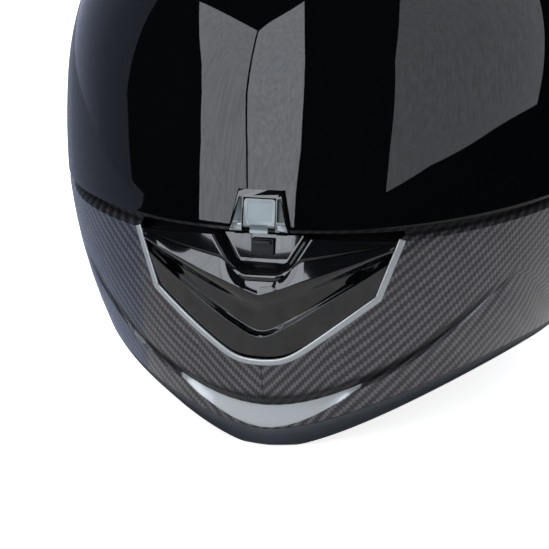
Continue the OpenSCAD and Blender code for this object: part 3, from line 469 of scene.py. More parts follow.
def grain(tree, shader, size, depth, detail=2.0, rough=None):
    """Fine grain of a moulded or cast surface, of that size and depth in mm, and a slow shift of gloss."""
    where = add(tree, "TexCoord").outputs["Object"]
    noise = add(tree, "TexNoise", {"Vector": where, "Scale": 1000 / size, "Detail": detail})
    bump = add(tree, "Bump", {"Height": noise.outputs["Fac"], "Distance": depth * MM, "Strength": 1.0})
    tree.links.new(bump.outputs["Normal"], shader.inputs["Normal"])
    if rough:
        slow = add(tree, "TexNoise", {"Vector": where, "Scale": 1000 / (size * 22), "Detail": 3.0})
        span = add(tree, "MapRange", {"Value": slow.outputs["Fac"], "From Min": 0.3, "From Max": 0.7,
                                      "To Min": rough[0], "To Max": rough[1]})
        tree.links.new(span.outputs["Result"], shader.inputs["Roughness"])


def carbon_lacquered():
    """Laid-up carbon under clear lacquer: 2x2 twill, mirrored at the seam in the middle of the chin.
    The dish under the fold is silver grey under the lacquer, a painted reflection of a lamp. The fold's
    undercut and the groove under the visor are darkened by painted shade, with less metal and lacquer and a
    rougher face."""
    mat, tree, shader = finish("carbon_lacquered", "#2a2a2b", 0.4, specular_ior_level=0.3,
                               coat_weight=1.0, coat_roughness=0.02, coat_ior=1.5)
    tow = 1.25  # mm, one tow of the cloth
    cloth = add(tree, "UVMap", uv_map="weave").outputs[0]
    parts = add(tree, "SeparateXYZ", {0: cloth})
    silver = add(tree, "Attribute", attribute_name="dish").outputs["Fac"]
    recess_shade = add(tree, "Attribute", attribute_name="recess_shade").outputs["Fac"]
    where = add(tree, "TexCoord").outputs["Object"]
    vary = add(tree, "TexNoise", {"Vector": where, "Scale": 1000 / 6.0, "Detail": 2.0}).outputs["Fac"]
    made = {"x": parts.outputs["X"], "y": parts.outputs["Y"],
            "silver": silver, "vary": vary, "recess_shade": recess_shade}
    # Each line is a step of the weave's arithmetic: name, operation, first value, second value
    for name, operation, first, second in (
            ("a", "MULTIPLY", "x", 1000 / tow), ("b", "MULTIPLY", "y", 1000 / tow),
            ("col", "FLOOR", "a", 0), ("row", "FLOOR", "b", 0),
            ("across", "SUBTRACT", "a", "col"), ("along", "SUBTRACT", "b", "row"),
            ("step", "SUBTRACT", "col", "row"), ("phase", "FLOORED_MODULO", "step", 4.0),
            ("warp_up", "LESS_THAN", "phase", 1.5), ("weft_up", "SUBTRACT", 1.0, "warp_up"),
            ("warp_at", "SUBTRACT", "phase", "along"), ("warp_on", "ADD", "warp_at", 1.0),
            ("weft_at", "ADD", "phase", "across"), ("weft_on", "SUBTRACT", "weft_at", 2.0),
            ("warp_pos", "MULTIPLY", "warp_on", "warp_up"), ("weft_pos", "MULTIPLY", "weft_on", "weft_up"),
            ("pos", "ADD", "warp_pos", "weft_pos"), ("turned", "MULTIPLY", "pos", math.pi / 2),
            ("hump", "SINE", "turned", 0),
            ("warp_mid", "MULTIPLY", "across", "warp_up"), ("weft_mid", "MULTIPLY", "along", "weft_up"),
            ("mid", "ADD", "warp_mid", "weft_mid"), ("mid_turned", "MULTIPLY", "mid", math.pi),
            ("barrel", "SINE", "mid_turned", 0), ("round", "POWER", "barrel", 0.5),
            ("rise", "MULTIPLY", "hump", 0.55), ("crown", "ADD", "rise", 0.45),
            ("height", "MULTIPLY", "crown", "round"),
            # painted shade of the weave: each tow lighter on its crown and darker toward its edges
            ("lit", "MULTIPLY", "height", 0.5), ("shade", "ADD", "lit", 0.55),
            ("near_seam", "LESS_THAN", "x", 0.00035), ("seam", "MULTIPLY", "near_seam", 0.55),
            ("keep", "SUBTRACT", 1.0, "seam"), ("plain", "MULTIPLY", "shade", "keep"),
            ("drift", "MULTIPLY", "vary", 0.5), ("level", "ADD", "drift", 0.75),
            ("even", "MULTIPLY", "plain", "level"),
            # painted shade in the fold's undercut and the groove under the visor: darker colour, less metal
            # and lacquer, rougher
            ("shade_depth", "MULTIPLY", "recess_shade", -0.84), ("unshaded", "ADD", "shade_depth", 1.0),
            ("tone", "MULTIPLY", "even", "unshaded"),
            # the dish's silver grey is a painted reflection of a lamp, with less metal and without the
            # weave's bump
            ("edge", "MULTIPLY", "silver", 4.0), ("dish", "MINIMUM", "edge", 1.0),
            ("painted", "MAXIMUM", "dish", 0.0),
            ("bare", "SUBTRACT", 1.0, "painted"), ("relief", "MULTIPLY", "height", "bare"),
            ("metal", "MULTIPLY", "painted", -0.4), ("metal_level", "ADD", "metal", 0.85),
            ("metallic", "MULTIPLY", "metal_level", "unshaded"),
            ("gloss", "MULTIPLY", "painted", 0.04), ("clean", "ADD", "gloss", 0.36),
            ("blur", "MULTIPLY", "recess_shade", 0.2), ("rough", "ADD", "clean", "blur"),
            ("thin", "MULTIPLY", "recess_shade", -0.85), ("lacquer", "ADD", "thin", 1.0)):
        values = {k: made[v] if isinstance(v, str) else float(v) for k, v in ((0, first), (1, second))}
        made[name] = add(tree, "Math", values, operation=operation).outputs[0]
    # warp tows lighter than weft tows: a painted reflection, in place of the fibres' sheen along their own
    # direction
    tows = add(tree, "Mix", {0: made["warp_up"], 6: colour("#4b4b4f"), 7: colour("#7d7c82")},
               data_type="RGBA")
    shaded = add(tree, "VectorMath", {0: tows.outputs[2], "Scale": made["tone"]}, operation="SCALE")
    # b4b8ba is the silver grey of the painted reflection in the dish
    coloured = add(tree, "Mix", {0: made["painted"], 6: shaded.outputs[0], 7: colour("#b4b8ba")},
                   data_type="RGBA")
    bump = add(tree, "Bump", {"Height": made["relief"], "Distance": 0.06 * MM, "Strength": 0.8})
    for socket, value in (("Base Color", coloured.outputs[2]), ("Metallic", made["metallic"]),
                          ("Roughness", made["rough"]), ("Normal", bump.outputs[0]),
                          ("Coat Weight", made["lacquer"])):
        tree.links.new(value, shader.inputs[socket])
    return mat


def rubber(name, base, rough=0.5):
    """Extruded or moulded EPDM rubber: matt, very slightly uneven."""
    mat, tree, shader = finish(name, base, rough, specular_ior_level=0.45)
    grain(tree, shader, 0.5, 0.012, rough=(rough - 0.06, rough + 0.05))
    return mat


def smoke_polycarbonate():
    """Moulded polycarbonate, dyed dark smoke and hard coated: near-black, with crisp reflections."""
    return finish("smoke_polycarbonate", "#050607", 0.015, ior=1.58, alpha=0.9)[0]


def clear_lens():
    """Cast cellulose anti-fog film: clear, faintly cool, very slightly wavy."""
    mat, tree, shader = finish("clear_lens", "#dfe7ea", 0.04, ior=1.49, alpha=0.25)
    grain(tree, shader, 30.0, 0.01)
    return mat


def gloss_abs():
    """Moulded ABS, painted gloss black: a faint waviness in deep gloss."""
    mat, tree, shader = finish("gloss_abs", "#0b0c0e", 0.08, ior=1.55, coat_weight=1.0, coat_roughness=0.02)
    grain(tree, shader, 26.0, 0.04, detail=1.0)
    return mat


def satin_abs():
    """Moulded ABS left semi-matt on the pivot covers: dark grey, smooth."""
    mat, tree, shader = finish("satin_abs", "#1e2024", 0.28, ior=1.55, coat_weight=0.5, coat_roughness=0.14)
    grain(tree, shader, 0.6, 0.004, rough=(0.24, 0.34))
    return mat


def nylon(name, base):
    """Glass-filled nylon with a spark-eroded texture."""
    mat, tree, shader = finish(name, base, 0.5)
    grain(tree, shader, 0.35, 0.03, rough=(0.42, 0.58))
    return mat


def satin_chrome():
    """Satin chrome plating on plastic: bright, softly brushed by its die."""
    mat, tree, shader = finish("satin_chrome", "#b4b8bb", 0.3, metallic=0.6)
    grain(tree, shader, 0.5, 0.006, rough=(0.27, 0.38))
    return mat


def steel():
    """Pressed stainless steel: rolled grain and slight handling wear."""
    mat, tree, shader = finish("steel", "#b9bcc0", 0.3, metallic=1.0)
    grain(tree, shader, 0.4, 0.008, rough=(0.22, 0.42))
    return mat


def lever_grey():
    """Satin-painted die casting of the latch lever: silver grey, rounded highlights."""
    mat, tree, shader = finish("lever_grey", "#7c8486", 0.34, metallic=0.5)
    grain(tree, shader, 0.5, 0.006, rough=(0.3, 0.4))
    return mat


def bead_foam():
    """Moulded EPS: 3 mm beads pressed flat against each other, black."""
    mat, tree, shader = finish("bead_foam", "#242527", 0.75)
    where = add(tree, "TexCoord").outputs["Object"]
    beads = add(tree, "TexVoronoi", {"Vector": where, "Scale": 1000 / 3.2}, feature="DISTANCE_TO_EDGE")
    edge = add(tree, "MapRange", {"Value": beads.outputs["Distance"], "From Max": 0.16})
    bump = add(tree, "Bump", {"Height": edge.outputs["Result"], "Distance": 0.18 * MM})
    tree.links.new(bump.outputs["Normal"], shader.inputs["Normal"])
    cells = add(tree, "TexVoronoi", {"Vector": where, "Scale": 1000 / 3.2})
    tone = add(tree, "HueSaturation", {"Color": colour("#2a2b2e"), "Saturation": 1.0})
    value = add(tree, "SeparateColor", {0: cells.outputs["Color"]})
    span = add(tree, "MapRange", {"Value": value.outputs[0], "To Min": 0.75, "To Max": 1.35})
    tree.links.new(span.outputs["Result"], tone.inputs["Value"])
    tree.links.new(tone.outputs[0], shader.inputs["Base Color"])
    return mat


def bands(pitch):
    """Scale of a wave texture whose bands repeat every pitch mm."""
    return math.pi / 10 / (pitch * MM)


def knit(name, light, dark, pitch=1.8, sheen=0.35):
    """Brushed polyester knit with a soft sheen. Its ribs of loops repeat every pitch mm, drawn coarser than
    the real 1 mm so that they show."""
    mat, tree, shader = finish(name, light, 0.92, specular_ior_level=0.2, sheen_weight=sheen,
                               sheen_roughness=0.4)
    where = add(tree, "TexCoord").outputs["Object"]
    ribs = []
    for turned in ((0.0, 0.0, 0.0), (0.6, 0.4, math.pi / 2)):
        view = add(tree, "Mapping", {"Vector": where, "Rotation": turned})
        ribs.append(add(tree, "TexWave", {"Vector": view.outputs[0], "Scale": bands(pitch),
                                          "Distortion": 1.2, "Detail": 1.0}, wave_profile="SIN"))
    loops = add(tree, "Math", {k: rib.outputs["Fac"] for k, rib in enumerate(ribs)}, operation="MULTIPLY")
    fuzz = add(tree, "TexNoise", {"Vector": where, "Scale": 1000 / 0.8, "Detail": 3.0})
    height = add(tree, "Math", {0: loops.outputs[0], 1: fuzz.outputs["Fac"]}, operation="ADD")
    bump = add(tree, "Bump", {"Height": height.outputs[0], "Distance": 0.22 * MM})
    tree.links.new(bump.outputs["Normal"], shader.inputs["Normal"])
    tone = add(tree, "Mix", {0: loops.outputs[0], 6: colour(dark), 7: colour(light)}, data_type="RGBA")
    tree.links.new(tone.outputs[2], shader.inputs["Base Color"])
    return mat


def webbing():
    """Woven polyester webbing with ribs and warp columns, drawn coarser than real to show."""
    mat, tree, shader = finish("webbing", "#1b1c1f", 0.85, sheen_weight=0.2, sheen_roughness=0.5)
    cloth = add(tree, "UVMap", uv_map="weave").outputs[0]
    heights = {}
    for k, (angle, pitch) in enumerate(((0.0, 1.4), (math.pi / 2, 2.0))):
        view = add(tree, "Mapping", {"Vector": cloth, "Rotation": (0.0, 0.0, angle)})
        wave = add(tree, "TexWave", {"Vector": view.outputs[0], "Scale": bands(pitch)})
        heights[k] = wave.outputs["Fac"]
    weave = add(tree, "Math", heights, operation="MULTIPLY")
    bump = add(tree, "Bump", {"Height": weave.outputs[0], "Distance": 0.25 * MM})
    tree.links.new(bump.outputs["Normal"], shader.inputs["Normal"])
    tone = add(tree, "Mix", {0: weave.outputs[0], 6: colour("#101114"), 7: colour("#34363b")},
               data_type="RGBA")
    tree.links.new(tone.outputs[2], shader.inputs["Base Color"])
    return mat


CARBON = carbon_lacquered()
TRIM_RUBBER = rubber("trim_rubber", "#3c4046", 0.42)
SEAL_RUBBER = rubber("seal_rubber", "#151618", 0.6)
SMOKE = smoke_polycarbonate()
CLEAR = clear_lens()
GLOSS = gloss_abs()
SATIN = satin_abs()
NYLON = nylon("black_nylon", "#1a1b1e")
GREY_NYLON = nylon("grey_nylon", "#3d4046")
RED_NYLON = nylon("red_nylon", "#8c1a1c")
CHROME = satin_chrome()
STEEL = steel()
LEVER = lever_grey()
FOAM = bead_foam()
LINING = knit("lining_knit", "#45484e", "#2a2c31")
CURTAIN = knit("curtain_knit", "#2c2d31", "#191a1c", 1.5)
WEBBING = webbing()

# Camera and studio

AZ, EL, REACH = math.radians(14.3), math.radians(13.6), 1.9  # the camera's place, as angles and metres
CAM_BACK = np.array([math.sin(AZ) * math.cos(EL), -math.cos(AZ) * math.cos(EL), math.sin(EL)])
CAM_RIGHT = np.array([math.cos(AZ), math.sin(AZ), 0.0])
CHIN = np.array([0, -0.164, 0.073])
ASIDE, ABOVE = 0.00717, 0.00891  # how far right of the chin and above it the camera aims
SPOT = np.array([0, -0.06, 0.12])  # the spot in the helmet that lamps, screens and flags are placed round
STUDIO_R = 1.7  # reach of the lamps and screens from it


def stand(ob, right, back, at):
    """Puts the camera or a lamp in its place, looking away from back."""
    m = np.eye(4)
    m[:3, 0], m[:3, 1], m[:3, 2], m[:3, 3] = right, np.cross(back, right), back, at
    ob.matrix_world = Matrix(m.tolist())
    bpy.context.scene.collection.objects.link(ob)


camera = bpy.data.objects.new("camera", bpy.data.cameras.new("camera"))
camera.data.sensor_width = 36
camera.data.lens = 286.6
camera.data.clip_end = 30
aim = CHIN + CAM_RIGHT * ASIDE + np.cross(CAM_BACK, CAM_RIGHT) * ABOVE
stand(camera, CAM_RIGHT, CAM_BACK, aim + CAM_BACK * REACH)
bpy.context.scene.camera = camera
bpy.context.scene.view_settings.view_transform = "Standard"


def toward(az, el, reach):
    """The point seen from the spot at an azimuth from the front and an elevation, in degrees."""
    a, e = np.radians(az), np.radians(el)
    return SPOT + np.stack([np.sin(a) * np.cos(e), -np.cos(a) * np.cos(e), np.sin(e)], -1) * reach


def softbox(name, az, el, wide, tall, radiance):
    """A lamp seen from the spot at an azimuth and an elevation, and so wide and tall, in degrees."""
    lamp = bpy.data.lights.new(name, "AREA")
    lamp.shape = "RECTANGLE"
    lamp.size, lamp.size_y = (2 * STUDIO_R * math.tan(math.radians(v / 2)) for v in (wide, tall))
    lamp.energy = radiance * math.pi * lamp.size * lamp.size_y
    lamp.color = colour("#f2f7ff")[:3]
    ob = bpy.data.objects.new(name, lamp)
    a = math.radians(az)
    stand(ob, [math.cos(a), math.sin(a), 0.0], toward(az, el, 1.0) - SPOT, toward(az, el, STUDIO_R))
    return ob


for name, az, el, wide, tall, radiance, mirrored_in_gloss in (
        ("front_left_strip", -32, 24, 26, 54, 2.0, False), ("front_mid_strip", -10, 26, 20, 54, 2.0, False),
        ("right_band", 75, 38, 62, 40, 1.3, False), ("left_band", -105, 20, 46, 50, 1.3, False),
        ("overhead", 0, 78, 40, 40, 2.6, False), ("rear_fill", 180, 40, 60, 40, 1.0, True)):
    softbox(name, az, el, wide, tall, radiance).visible_glossy = mirrored_in_gloss


def glossy_only(ob, mat):
    """Keeps a studio flag or card out of everything but reflections."""
    ob.visible_camera = ob.visible_diffuse = ob.visible_transmission = ob.visible_shadow = False
    ob.data.materials.append(mat)


def glow(name, radiance, tone="#ffffff", rise=1.0):
    """A lit cloth with faint upright folds. Toward the back it gets brighter by the factor rise."""
    mat = bpy.data.materials.new(name)
    mat.use_nodes = True
    tree = mat.node_tree
    tree.nodes.clear()
    spot = add(tree, "TexCoord").outputs["Object"]
    where = add(tree, "Mapping", {"Vector": spot, "Scale": (9.0, 9.0, 0.15)})
    folds = add(tree, "TexNoise", {"Vector": where.outputs[0], "Detail": 3.0})
    span = add(tree, "MapRange", {"Value": folds.outputs["Fac"], "From Min": 0.3, "From Max": 0.7,
                                  "To Min": radiance * 0.82, "To Max": radiance * 1.12})
    y = add(tree, "SeparateXYZ", {0: spot}).outputs["Y"]
    behind = add(tree, "MapRange", {"Value": y, "From Min": 0.1, "From Max": 1.3, "To Min": 1.0,
                                    "To Max": rise}, interpolation_type="SMOOTHSTEP")
    level = add(tree, "Math", {0: span.outputs[0], 1: behind.outputs[0]}, operation="MULTIPLY")
    light = add(tree, "Emission", {"Color": colour(tone), "Strength": level.outputs[0]})
    add(tree, "OutputMaterial", {0: light.outputs[0]})
    return mat


def card(name, corners, radiance, tone="#f2f7ff", rise=1.0):
    """A lit screen whose corners are azimuths and elevations seen from the spot."""
    bpy.ops.mesh.primitive_circle_add(vertices=len(corners), fill_type="NGON")
    ob = bpy.context.object
    ob.name = name
    place(ob, toward(*np.array(corners, float).T, STUDIO_R))
    glossy_only(ob, glow(name + "_cloth", radiance, tone, rise))


card("left_screen_front",
     [(-39, -4), (-17.2, -4), (-18.6, 11), (-20, 19), (-24.2, 33), (-29, 50), (-66, 47), (-48.2, 35.4),
      (-43.4, 28), (-39.9, 17.2), (-38.8, 6.4)], 3.0)
card("left_screen_mid",
     [(-16.8, -4), (-1.4, -4), (-1.9, 10.8), (-1.7, 20.4), (-4, 35.4), (-6.4, 44.4), (-17, 62), (-28.2, 50),
      (-23.4, 33), (-19.3, 19), (-18, 11)], 3.4)
card("right_screen",
     [(38.7, 5.6), (58.5, 6.2), (81.7, 3.7), (110.4, -0.6), (121, 22), (90, 52), (49, 59), (39.5, 40.4),
      (39.2, 30.6), (38.5, 15.3)], 1.25)
card("left_wall",
     [(-78, -4), (-80, 1), (-82.4, 8), (-84.3, 11), (-88, 30), (-92, 60), (-120, 60), (-148, 60),
      (-172, 60), (-172, -4), (-148, -4), (-110, -4)], 0.34, "#c9d4f2", rise=2.5)

# Flags round the helmet, as rings of a radius and a height in metres between two azimuths. The black foot
# covers the ground under the helmet, and the tables start at its outline.
LAID, ROOM_R, ROOM_H, TABLE_R, FOOT_GAP = 0.001, 3.0, 2.4, 0.4, 1.05
TABLE = [(0.0, LAID), (0.25, LAID), (TABLE_R, LAID)]
GROUND = [(TABLE_R, LAID), (1.2, LAID), (ROOM_R, LAID)]
flag = finish("black_cloth", "#050505", 1.0, specular_ior_level=0.0)[0]
grey, dim = glow("grey_cloth", 0.42), glow("left_cloth", 0.4, "#c9d4f2")
stations = np.linspace(-179, 179, 359)
foot_x, foot_y = (skin(stations, rim(stations)) * MM - SPOT)[:, :2].T
foot_az, foot_r = np.degrees(np.arctan2(foot_x, -foot_y)), np.hypot(foot_x, foot_y) * FOOT_GAP
for name, cloth, start, stop, rings in (
        ("black_wall", flag, -150, 150, [(ROOM_R, LAID), (ROOM_R, ROOM_H / 2), (ROOM_R, ROOM_H)]),
        ("black_ceiling", flag, -150, 150, [(ROOM_R, ROOM_H), (ROOM_R / 2, ROOM_H), (0.1, ROOM_H)]),
        ("black_ground", flag, -72, 150, GROUND), ("left_ground", dim, -210, -72, GROUND),
        ("black_foot", flag, -210, 150, [(0.02, LAID), (0.07, LAID), (TABLE_R, LAID)]),
        ("left_table", dim, -210, -72, TABLE), ("grey_table", grey, -72, 150, TABLE)):
    ob, i, j = lattice(name, len(rings), 41)
    far, high = np.array(rings)[i].T
    az = np.linspace(start, stop, 41)[j]
    footprint = np.interp((az + 180) % 360 - 180, foot_az, foot_r)
    far = np.minimum(far, footprint) if name == "black_foot" else np.maximum(far, footprint)
    a = np.radians(az)
    place(ob, np.stack([far * np.sin(a), SPOT[1] - far * np.cos(a), high], -1))
    glossy_only(ob, cloth)

world = bpy.data.worlds.new("studio")
bpy.context.scene.world = world
world.use_nodes = True


def direct(tree):
    """1 for rays from the camera, off gloss and through glass, which see the white background."""
    rays = add(tree, "LightPath")
    seen = rays.outputs["Is Camera Ray"]
    for kind in ("Is Glossy Ray", "Is Transmission Ray"):
        seen = add(tree, "Math", {0: seen, 1: rays.outputs[kind]}, operation="MAXIMUM").outputs[0]
    return seen


sky = world.node_tree
sky.nodes.clear()
# The sky is dim where it lights and white where it is seen
level = add(sky, "MapRange", {"Value": direct(sky), "To Min": 0.32, "To Max": 1.0})
blank = add(sky, "Background", {"Color": colour("#ffffff"), "Strength": level.outputs["Result"]})
add(sky, "OutputWorld", {0: blank.outputs[0]})

bpy.ops.object.select_all(action="DESELECT")
bpy.ops.mesh.primitive_plane_add(size=24, location=(0, 0, -0.0002))
floor = bpy.context.object
floor.name = "floor"
paper, sweep, base = finish("white_paper", "#eeeeee", 0.9, specular_ior_level=0.0)
lift = add(sweep, "Math", {0: direct(sweep), 1: 0.82}, operation="MULTIPLY")
base.inputs["Emission Color"].default_value = colour("#ffffff")
sweep.links.new(lift.outputs[0], base.inputs["Emission Strength"])
under = add(sweep, "MixShader", {0: add(sweep, "NewGeometry").outputs["Backfacing"], 1: base.outputs[0],
                                 2: add(sweep, "BsdfTransparent").outputs[0]})  # open from below
sweep.links.new(under.outputs[0], sweep.nodes["Material Output"].inputs["Surface"])
floor.data.materials.append(paper)

# Shell

SHELL_COLS = 288
DOME_Z = 150.0  # height of the joint between the wrapped cloth and the crown's cloth
CORNER, PULLED = 30.0, 1.4


def shell_rows(t):
    """Heights of the shell's rows at an angle: fold, chin bar, step, sides and dome."""
    a, b, top = ledge(t) - 1.0, ledge(t) + 1.0, CROWN_Z - STEP_CROWN
    fold = ease(80, FOLD_END, turn(t))
    low = np.concatenate([mix(rim(t), dish_edge(t), np.linspace(0, 1, 4)),
                          mix(dish_edge(t), fold_foot(t), np.linspace(0, 1, 8)[1:]),
                          mix(fold_foot(t), fold_top(t), np.linspace(0, 1, 9)[1:]),
                          mix(fold_top(t), a, np.linspace(0, 1, 25)[1:])])
    plain = mix(rim(t), a, np.linspace(0, 1, len(low)))
    wall = mix(b, DOME_Z, np.linspace(0, 1, 16))
    crown = DOME_Z + (top - DOME_Z) * sin_d(np.linspace(0, 90, 46)[1:])
    return np.concatenate([mix(plain, low, fold), [mix(a, b, 0.35), mix(a, b, 0.65)], wall, crown])


def weave_maps(t, z, d):
    """Where the cloth lies: wrapped round the sides from the front seam, and laid over the crown."""
    p = skin(t, z, d)
    half = p[:, : SHELL_COLS // 2 + 1]
    along = np.cumsum(np.linalg.norm(np.diff(half, axis=1), axis=2), axis=1)
    u_half = np.concatenate([np.zeros((len(p), 1)), along], axis=1)
    # Past CORNER the cloth is pulled wider, as it goes round the corner of the chin bar
    u_half = np.where(u_half < CORNER, u_half, CORNER + (u_half - CORNER) / PULLED)
    u = np.concatenate([u_half, u_half[:, -2:0:-1]], axis=1)
    rise = np.linalg.norm(np.diff(p, axis=0), axis=2)
    v = np.concatenate([np.zeros((1, p.shape[1])), np.cumsum(rise, axis=0)])
    # The rows are levelled toward their height, so that the cloth hangs straight
    v = mix(v, p[:, :, 2], 0.7)
    down = np.concatenate([np.cumsum(rise[::-1], axis=0)[::-1], np.zeros((1, p.shape[1]))])
    crown = np.stack([np.abs(down * sin_d(t)), down * cos_d(t)], -1)
    return [np.concatenate([m, m[:, :1]], axis=1) for m in (np.stack([u, v], -1), crown)]


angles = np.arange(SHELL_COLS) * 360.0 / SHELL_COLS
heights = np.stack([shell_rows(t) for t in angles], 1)
turns = np.broadcast_to(angles[None, :], heights.shape)
depth_out = shell_d(turns, heights) + fold_depth(turns, heights)
crown_top = CROWN_Z - STEP_CROWN
pole = np.array([0, MID_Y, crown_top])
outer = skin(turns, heights, depth_out)
outer[-1] = pole
lower = (crown_top - WALL - DOME_Z) / (crown_top - DOME_Z)
inner_rows = np.where(heights > DOME_Z, DOME_Z + (heights - DOME_Z) * lower, heights)
inner = skin(turns, inner_rows, inner_d(turns, inner_rows))
inner[-1] = pole - [0, 0, WALL]
dome_row = int(np.argmax(heights[:, 0] >= DOME_Z))
shell = slab("outer_shell_laid_up", outer, inner, "tube",
             weave=(weave_maps(turns, heights, depth_out), dome_row))


def hull(cloud):
    """Convex outline round a cloud of points, anticlockwise."""
    pts = sorted(map(tuple, cloud))

    def half(seq):
        out = []
        for p in seq:
            while len(out) > 1 and ((out[-1][0] - out[-2][0]) * (p[1] - out[-2][1])
                                    - (out[-1][1] - out[-2][1]) * (p[0] - out[-2][0])) <= 0:
                out.pop()
            out.append(p)
        return out[:-1]

    return np.array(half(pts) + half(pts[::-1]))


def disc(x, y, r, n=64):
    a = np.arange(n) * 2 * np.pi / n
    return np.stack([x + r * np.cos(a), y + r * np.sin(a)], -1)


PORT_LOW, PORT_HIGH, PORT_END, PORT_ROUND = 109.0, 193.0, -48.0, 26.0


def port_outline(count):
    """The eye port's outline in the side view, open toward the front."""
    far, y, r = -FRONT_Y - 40, PORT_END - PORT_ROUND, PORT_ROUND
    corners = [disc(y, PORT_LOW + r + 2, r, count), disc(y - 8, PORT_HIGH - r - 3, r, count)]
    return hull(np.concatenate([*corners, [[far, PORT_LOW], [far, PORT_HIGH]]]))


# Chin vent: its outline and the lines of its face, as in the part's source
VENT_LOW, VENT_SLOPE, VENT_KINK, VENT_SOFT, VENT_START, VENT_LEAN = 40.0, 0.743, 51.4, 2.5, 8.7, 0.372
BEZEL_W, BEZEL_UP, MOULD_T, CREASE_Z, CREASE_UP, RECESS_D, TROUGH_D = 3.0, 0.9, 2.4, 73.0, 1.8, 3.2, 6.5
KINK_AT = 0.7


def vent_v(x):
    return VENT_LOW + VENT_SOFT * np.log(1 + np.exp((VENT_SLOPE * np.abs(x) - VENT_START) / VENT_SOFT))


VENT_KINK_Z = float(vent_v(VENT_KINK))
VENT_TOP = VISOR_LOW - 3.5
TIP_Z = float(ledge(24)) - 0.5
TIP_X = VENT_KINK + (TIP_Z - VENT_KINK_Z) * VENT_LEAN


def vent_edge(w):
    w = np.asarray(w, float)
    x = VENT_KINK * w / KINK_AT
    u = (w - KINK_AT) / (1 - KINK_AT)
    low = np.stack([x, vent_v(x)], -1)
    high = np.stack([mix(VENT_KINK, TIP_X, u), mix(VENT_KINK_Z, TIP_Z, u)], -1)
    return np.where((w <= KINK_AT)[..., None], low, high)


def vent_inset(w, g):
    w = np.asarray(w, float)
    v = vent_edge(np.minimum(1, w + 0.01)) - vent_edge(np.maximum(0, w - 0.01))
    v = np.where((w < 0.005)[..., None], [1.0, 0.0], v)
    n = np.stack([-v[..., 1], v[..., 0]], -1) / np.linalg.norm(v, axis=-1, keepdims=True)
    return vent_edge(w) + n * g


BEZEL_IN = BEZEL_W + 0.35
KINK_IN = vent_inset(KINK_AT, BEZEL_IN)


def line_lip(w):
    x = KINK_IN[0] * w
    return np.stack([x, vent_v(x) + BEZEL_IN * math.hypot(1, VENT_SLOPE)], -1)


def side_x(z):
    return KINK_IN[0] + (z - line_lip(np.array(1.0))[1]) * VENT_LEAN


RIDGE_LOW, RIDGE_SLOPE, CREASE_RISE = VENT_LOW + 9.7, 0.662, 19.5
GROOVE_RISE, TROUGH_DIP, TROUGH_HALF, TOP_DROP = 6.4, 9.5, 20.0, 2.6
RIDGE_END = side_x(RIDGE_LOW + RIDGE_SLOPE * 54)
CREASE_END = side_x(CREASE_Z + CREASE_RISE)
GROOVE_Z = CREASE_Z + 14.8
GROOVE_END = side_x(GROOVE_Z + GROOVE_RISE)
TOP_END = side_x(VENT_TOP - TOP_DROP)


def line_ridge(w):
    x = w * RIDGE_END
    return np.stack([x, RIDGE_LOW + RIDGE_SLOPE * np.hypot(x, 5.5)], -1)


def line_crease(w):
    return np.stack([w * CREASE_END, CREASE_Z + CREASE_RISE * w], -1)


def line_groove(w):
    x = w * GROOVE_END
    rise = GROOVE_RISE * np.clip((x - TROUGH_HALF) / (GROOVE_END - TROUGH_HALF), 0, 1)
    return np.stack([x, GROOVE_Z + rise - TROUGH_DIP * (1 - ease(6, TROUGH_HALF, x))], -1)


def line_top(w):
    return np.stack([w * TOP_END, VENT_TOP - TOP_DROP * w * w], -1)


def scoop_d(u):
    v = np.maximum(u - 1, 0)
    open_part = (mix(mix(RECESS_D, 0.4, v ** 1.4), -CREASE_UP, ease(0.55, 1, v)) * ease(0, 0.12, v)
                 - 0.2 * (1 - ease(0, 0.12, v)))
    return np.where(u <= 1, mix(0.6, -0.2, u), open_part)


def trough(x, z):
    over = z - float(line_groove(np.array(0.0))[1]) - 1.5
    return TROUGH_D * ease(0, 7, over) * (1 - ease(0, 5, np.abs(x) - 6.5 - 0.62 * over))


def vent_point(p, d):
    return np.stack([p[..., 0], face_y(p[..., 0], p[..., 1]) + d, p[..., 1]], -1)


def vent_outline(g):
    edge = BEZEL_W - 0.8 - g
    w = np.linspace(0.01, 1, 90)
    right = vent_inset(w, edge)
    foot = [[0, float(vent_edge(0.0)[1]) + edge * 1.1]]
    cap = [[TIP_X - edge, VENT_TOP + 1]]
    half = np.concatenate([foot, right, cap])
    return np.concatenate([half, (half[1:] * [-1, 1])[::-1]])


def placed(ob, matrix):
    """Moves a mesh, in mm, by a matrix of its own place."""
    place(ob, (np.c_[points(ob) / MM, np.ones(len(ob.data.vertices))] @ np.asarray(matrix).T)[:, :3] * MM)
    return ob


def on_skin(t, z, d):
    """Matrix of a place on the surface, with its Z outward."""
    p = skin(t, z, d)
    v = np.cross(skin(t + 1, z, d) - skin(t - 1, z, d), skin(t, z + 1, d) - skin(t, z - 1, d))
    v = v / np.linalg.norm(v)
    tilt, swing = math.acos(v[2]), math.atan2(v[1], v[0])
    m = np.eye(4)
    m[:3, :3] = np.array(Matrix.Rotation(swing, 3, "Z") @ Matrix.Rotation(tilt, 3, "Y"))
    m[:3, 3] = p
    return m


def block(name, x, y, z):
    """A bar with the given extents along x, y and z."""
    return prism(name, [(x[0], y[0]), (x[1], y[0]), (x[1], y[1]), (x[0], y[1])], 2, z[0], z[1])


def rounded(x, z, r, n=24):
    """Outline of a rectangle with round corners."""
    centres = [(a, b) for a in (x[0] + r, x[1] - r) for b in (z[0] + r, z[1] - r)]
    return hull(np.concatenate([disc(a, b, r, n) for a, b in centres]))


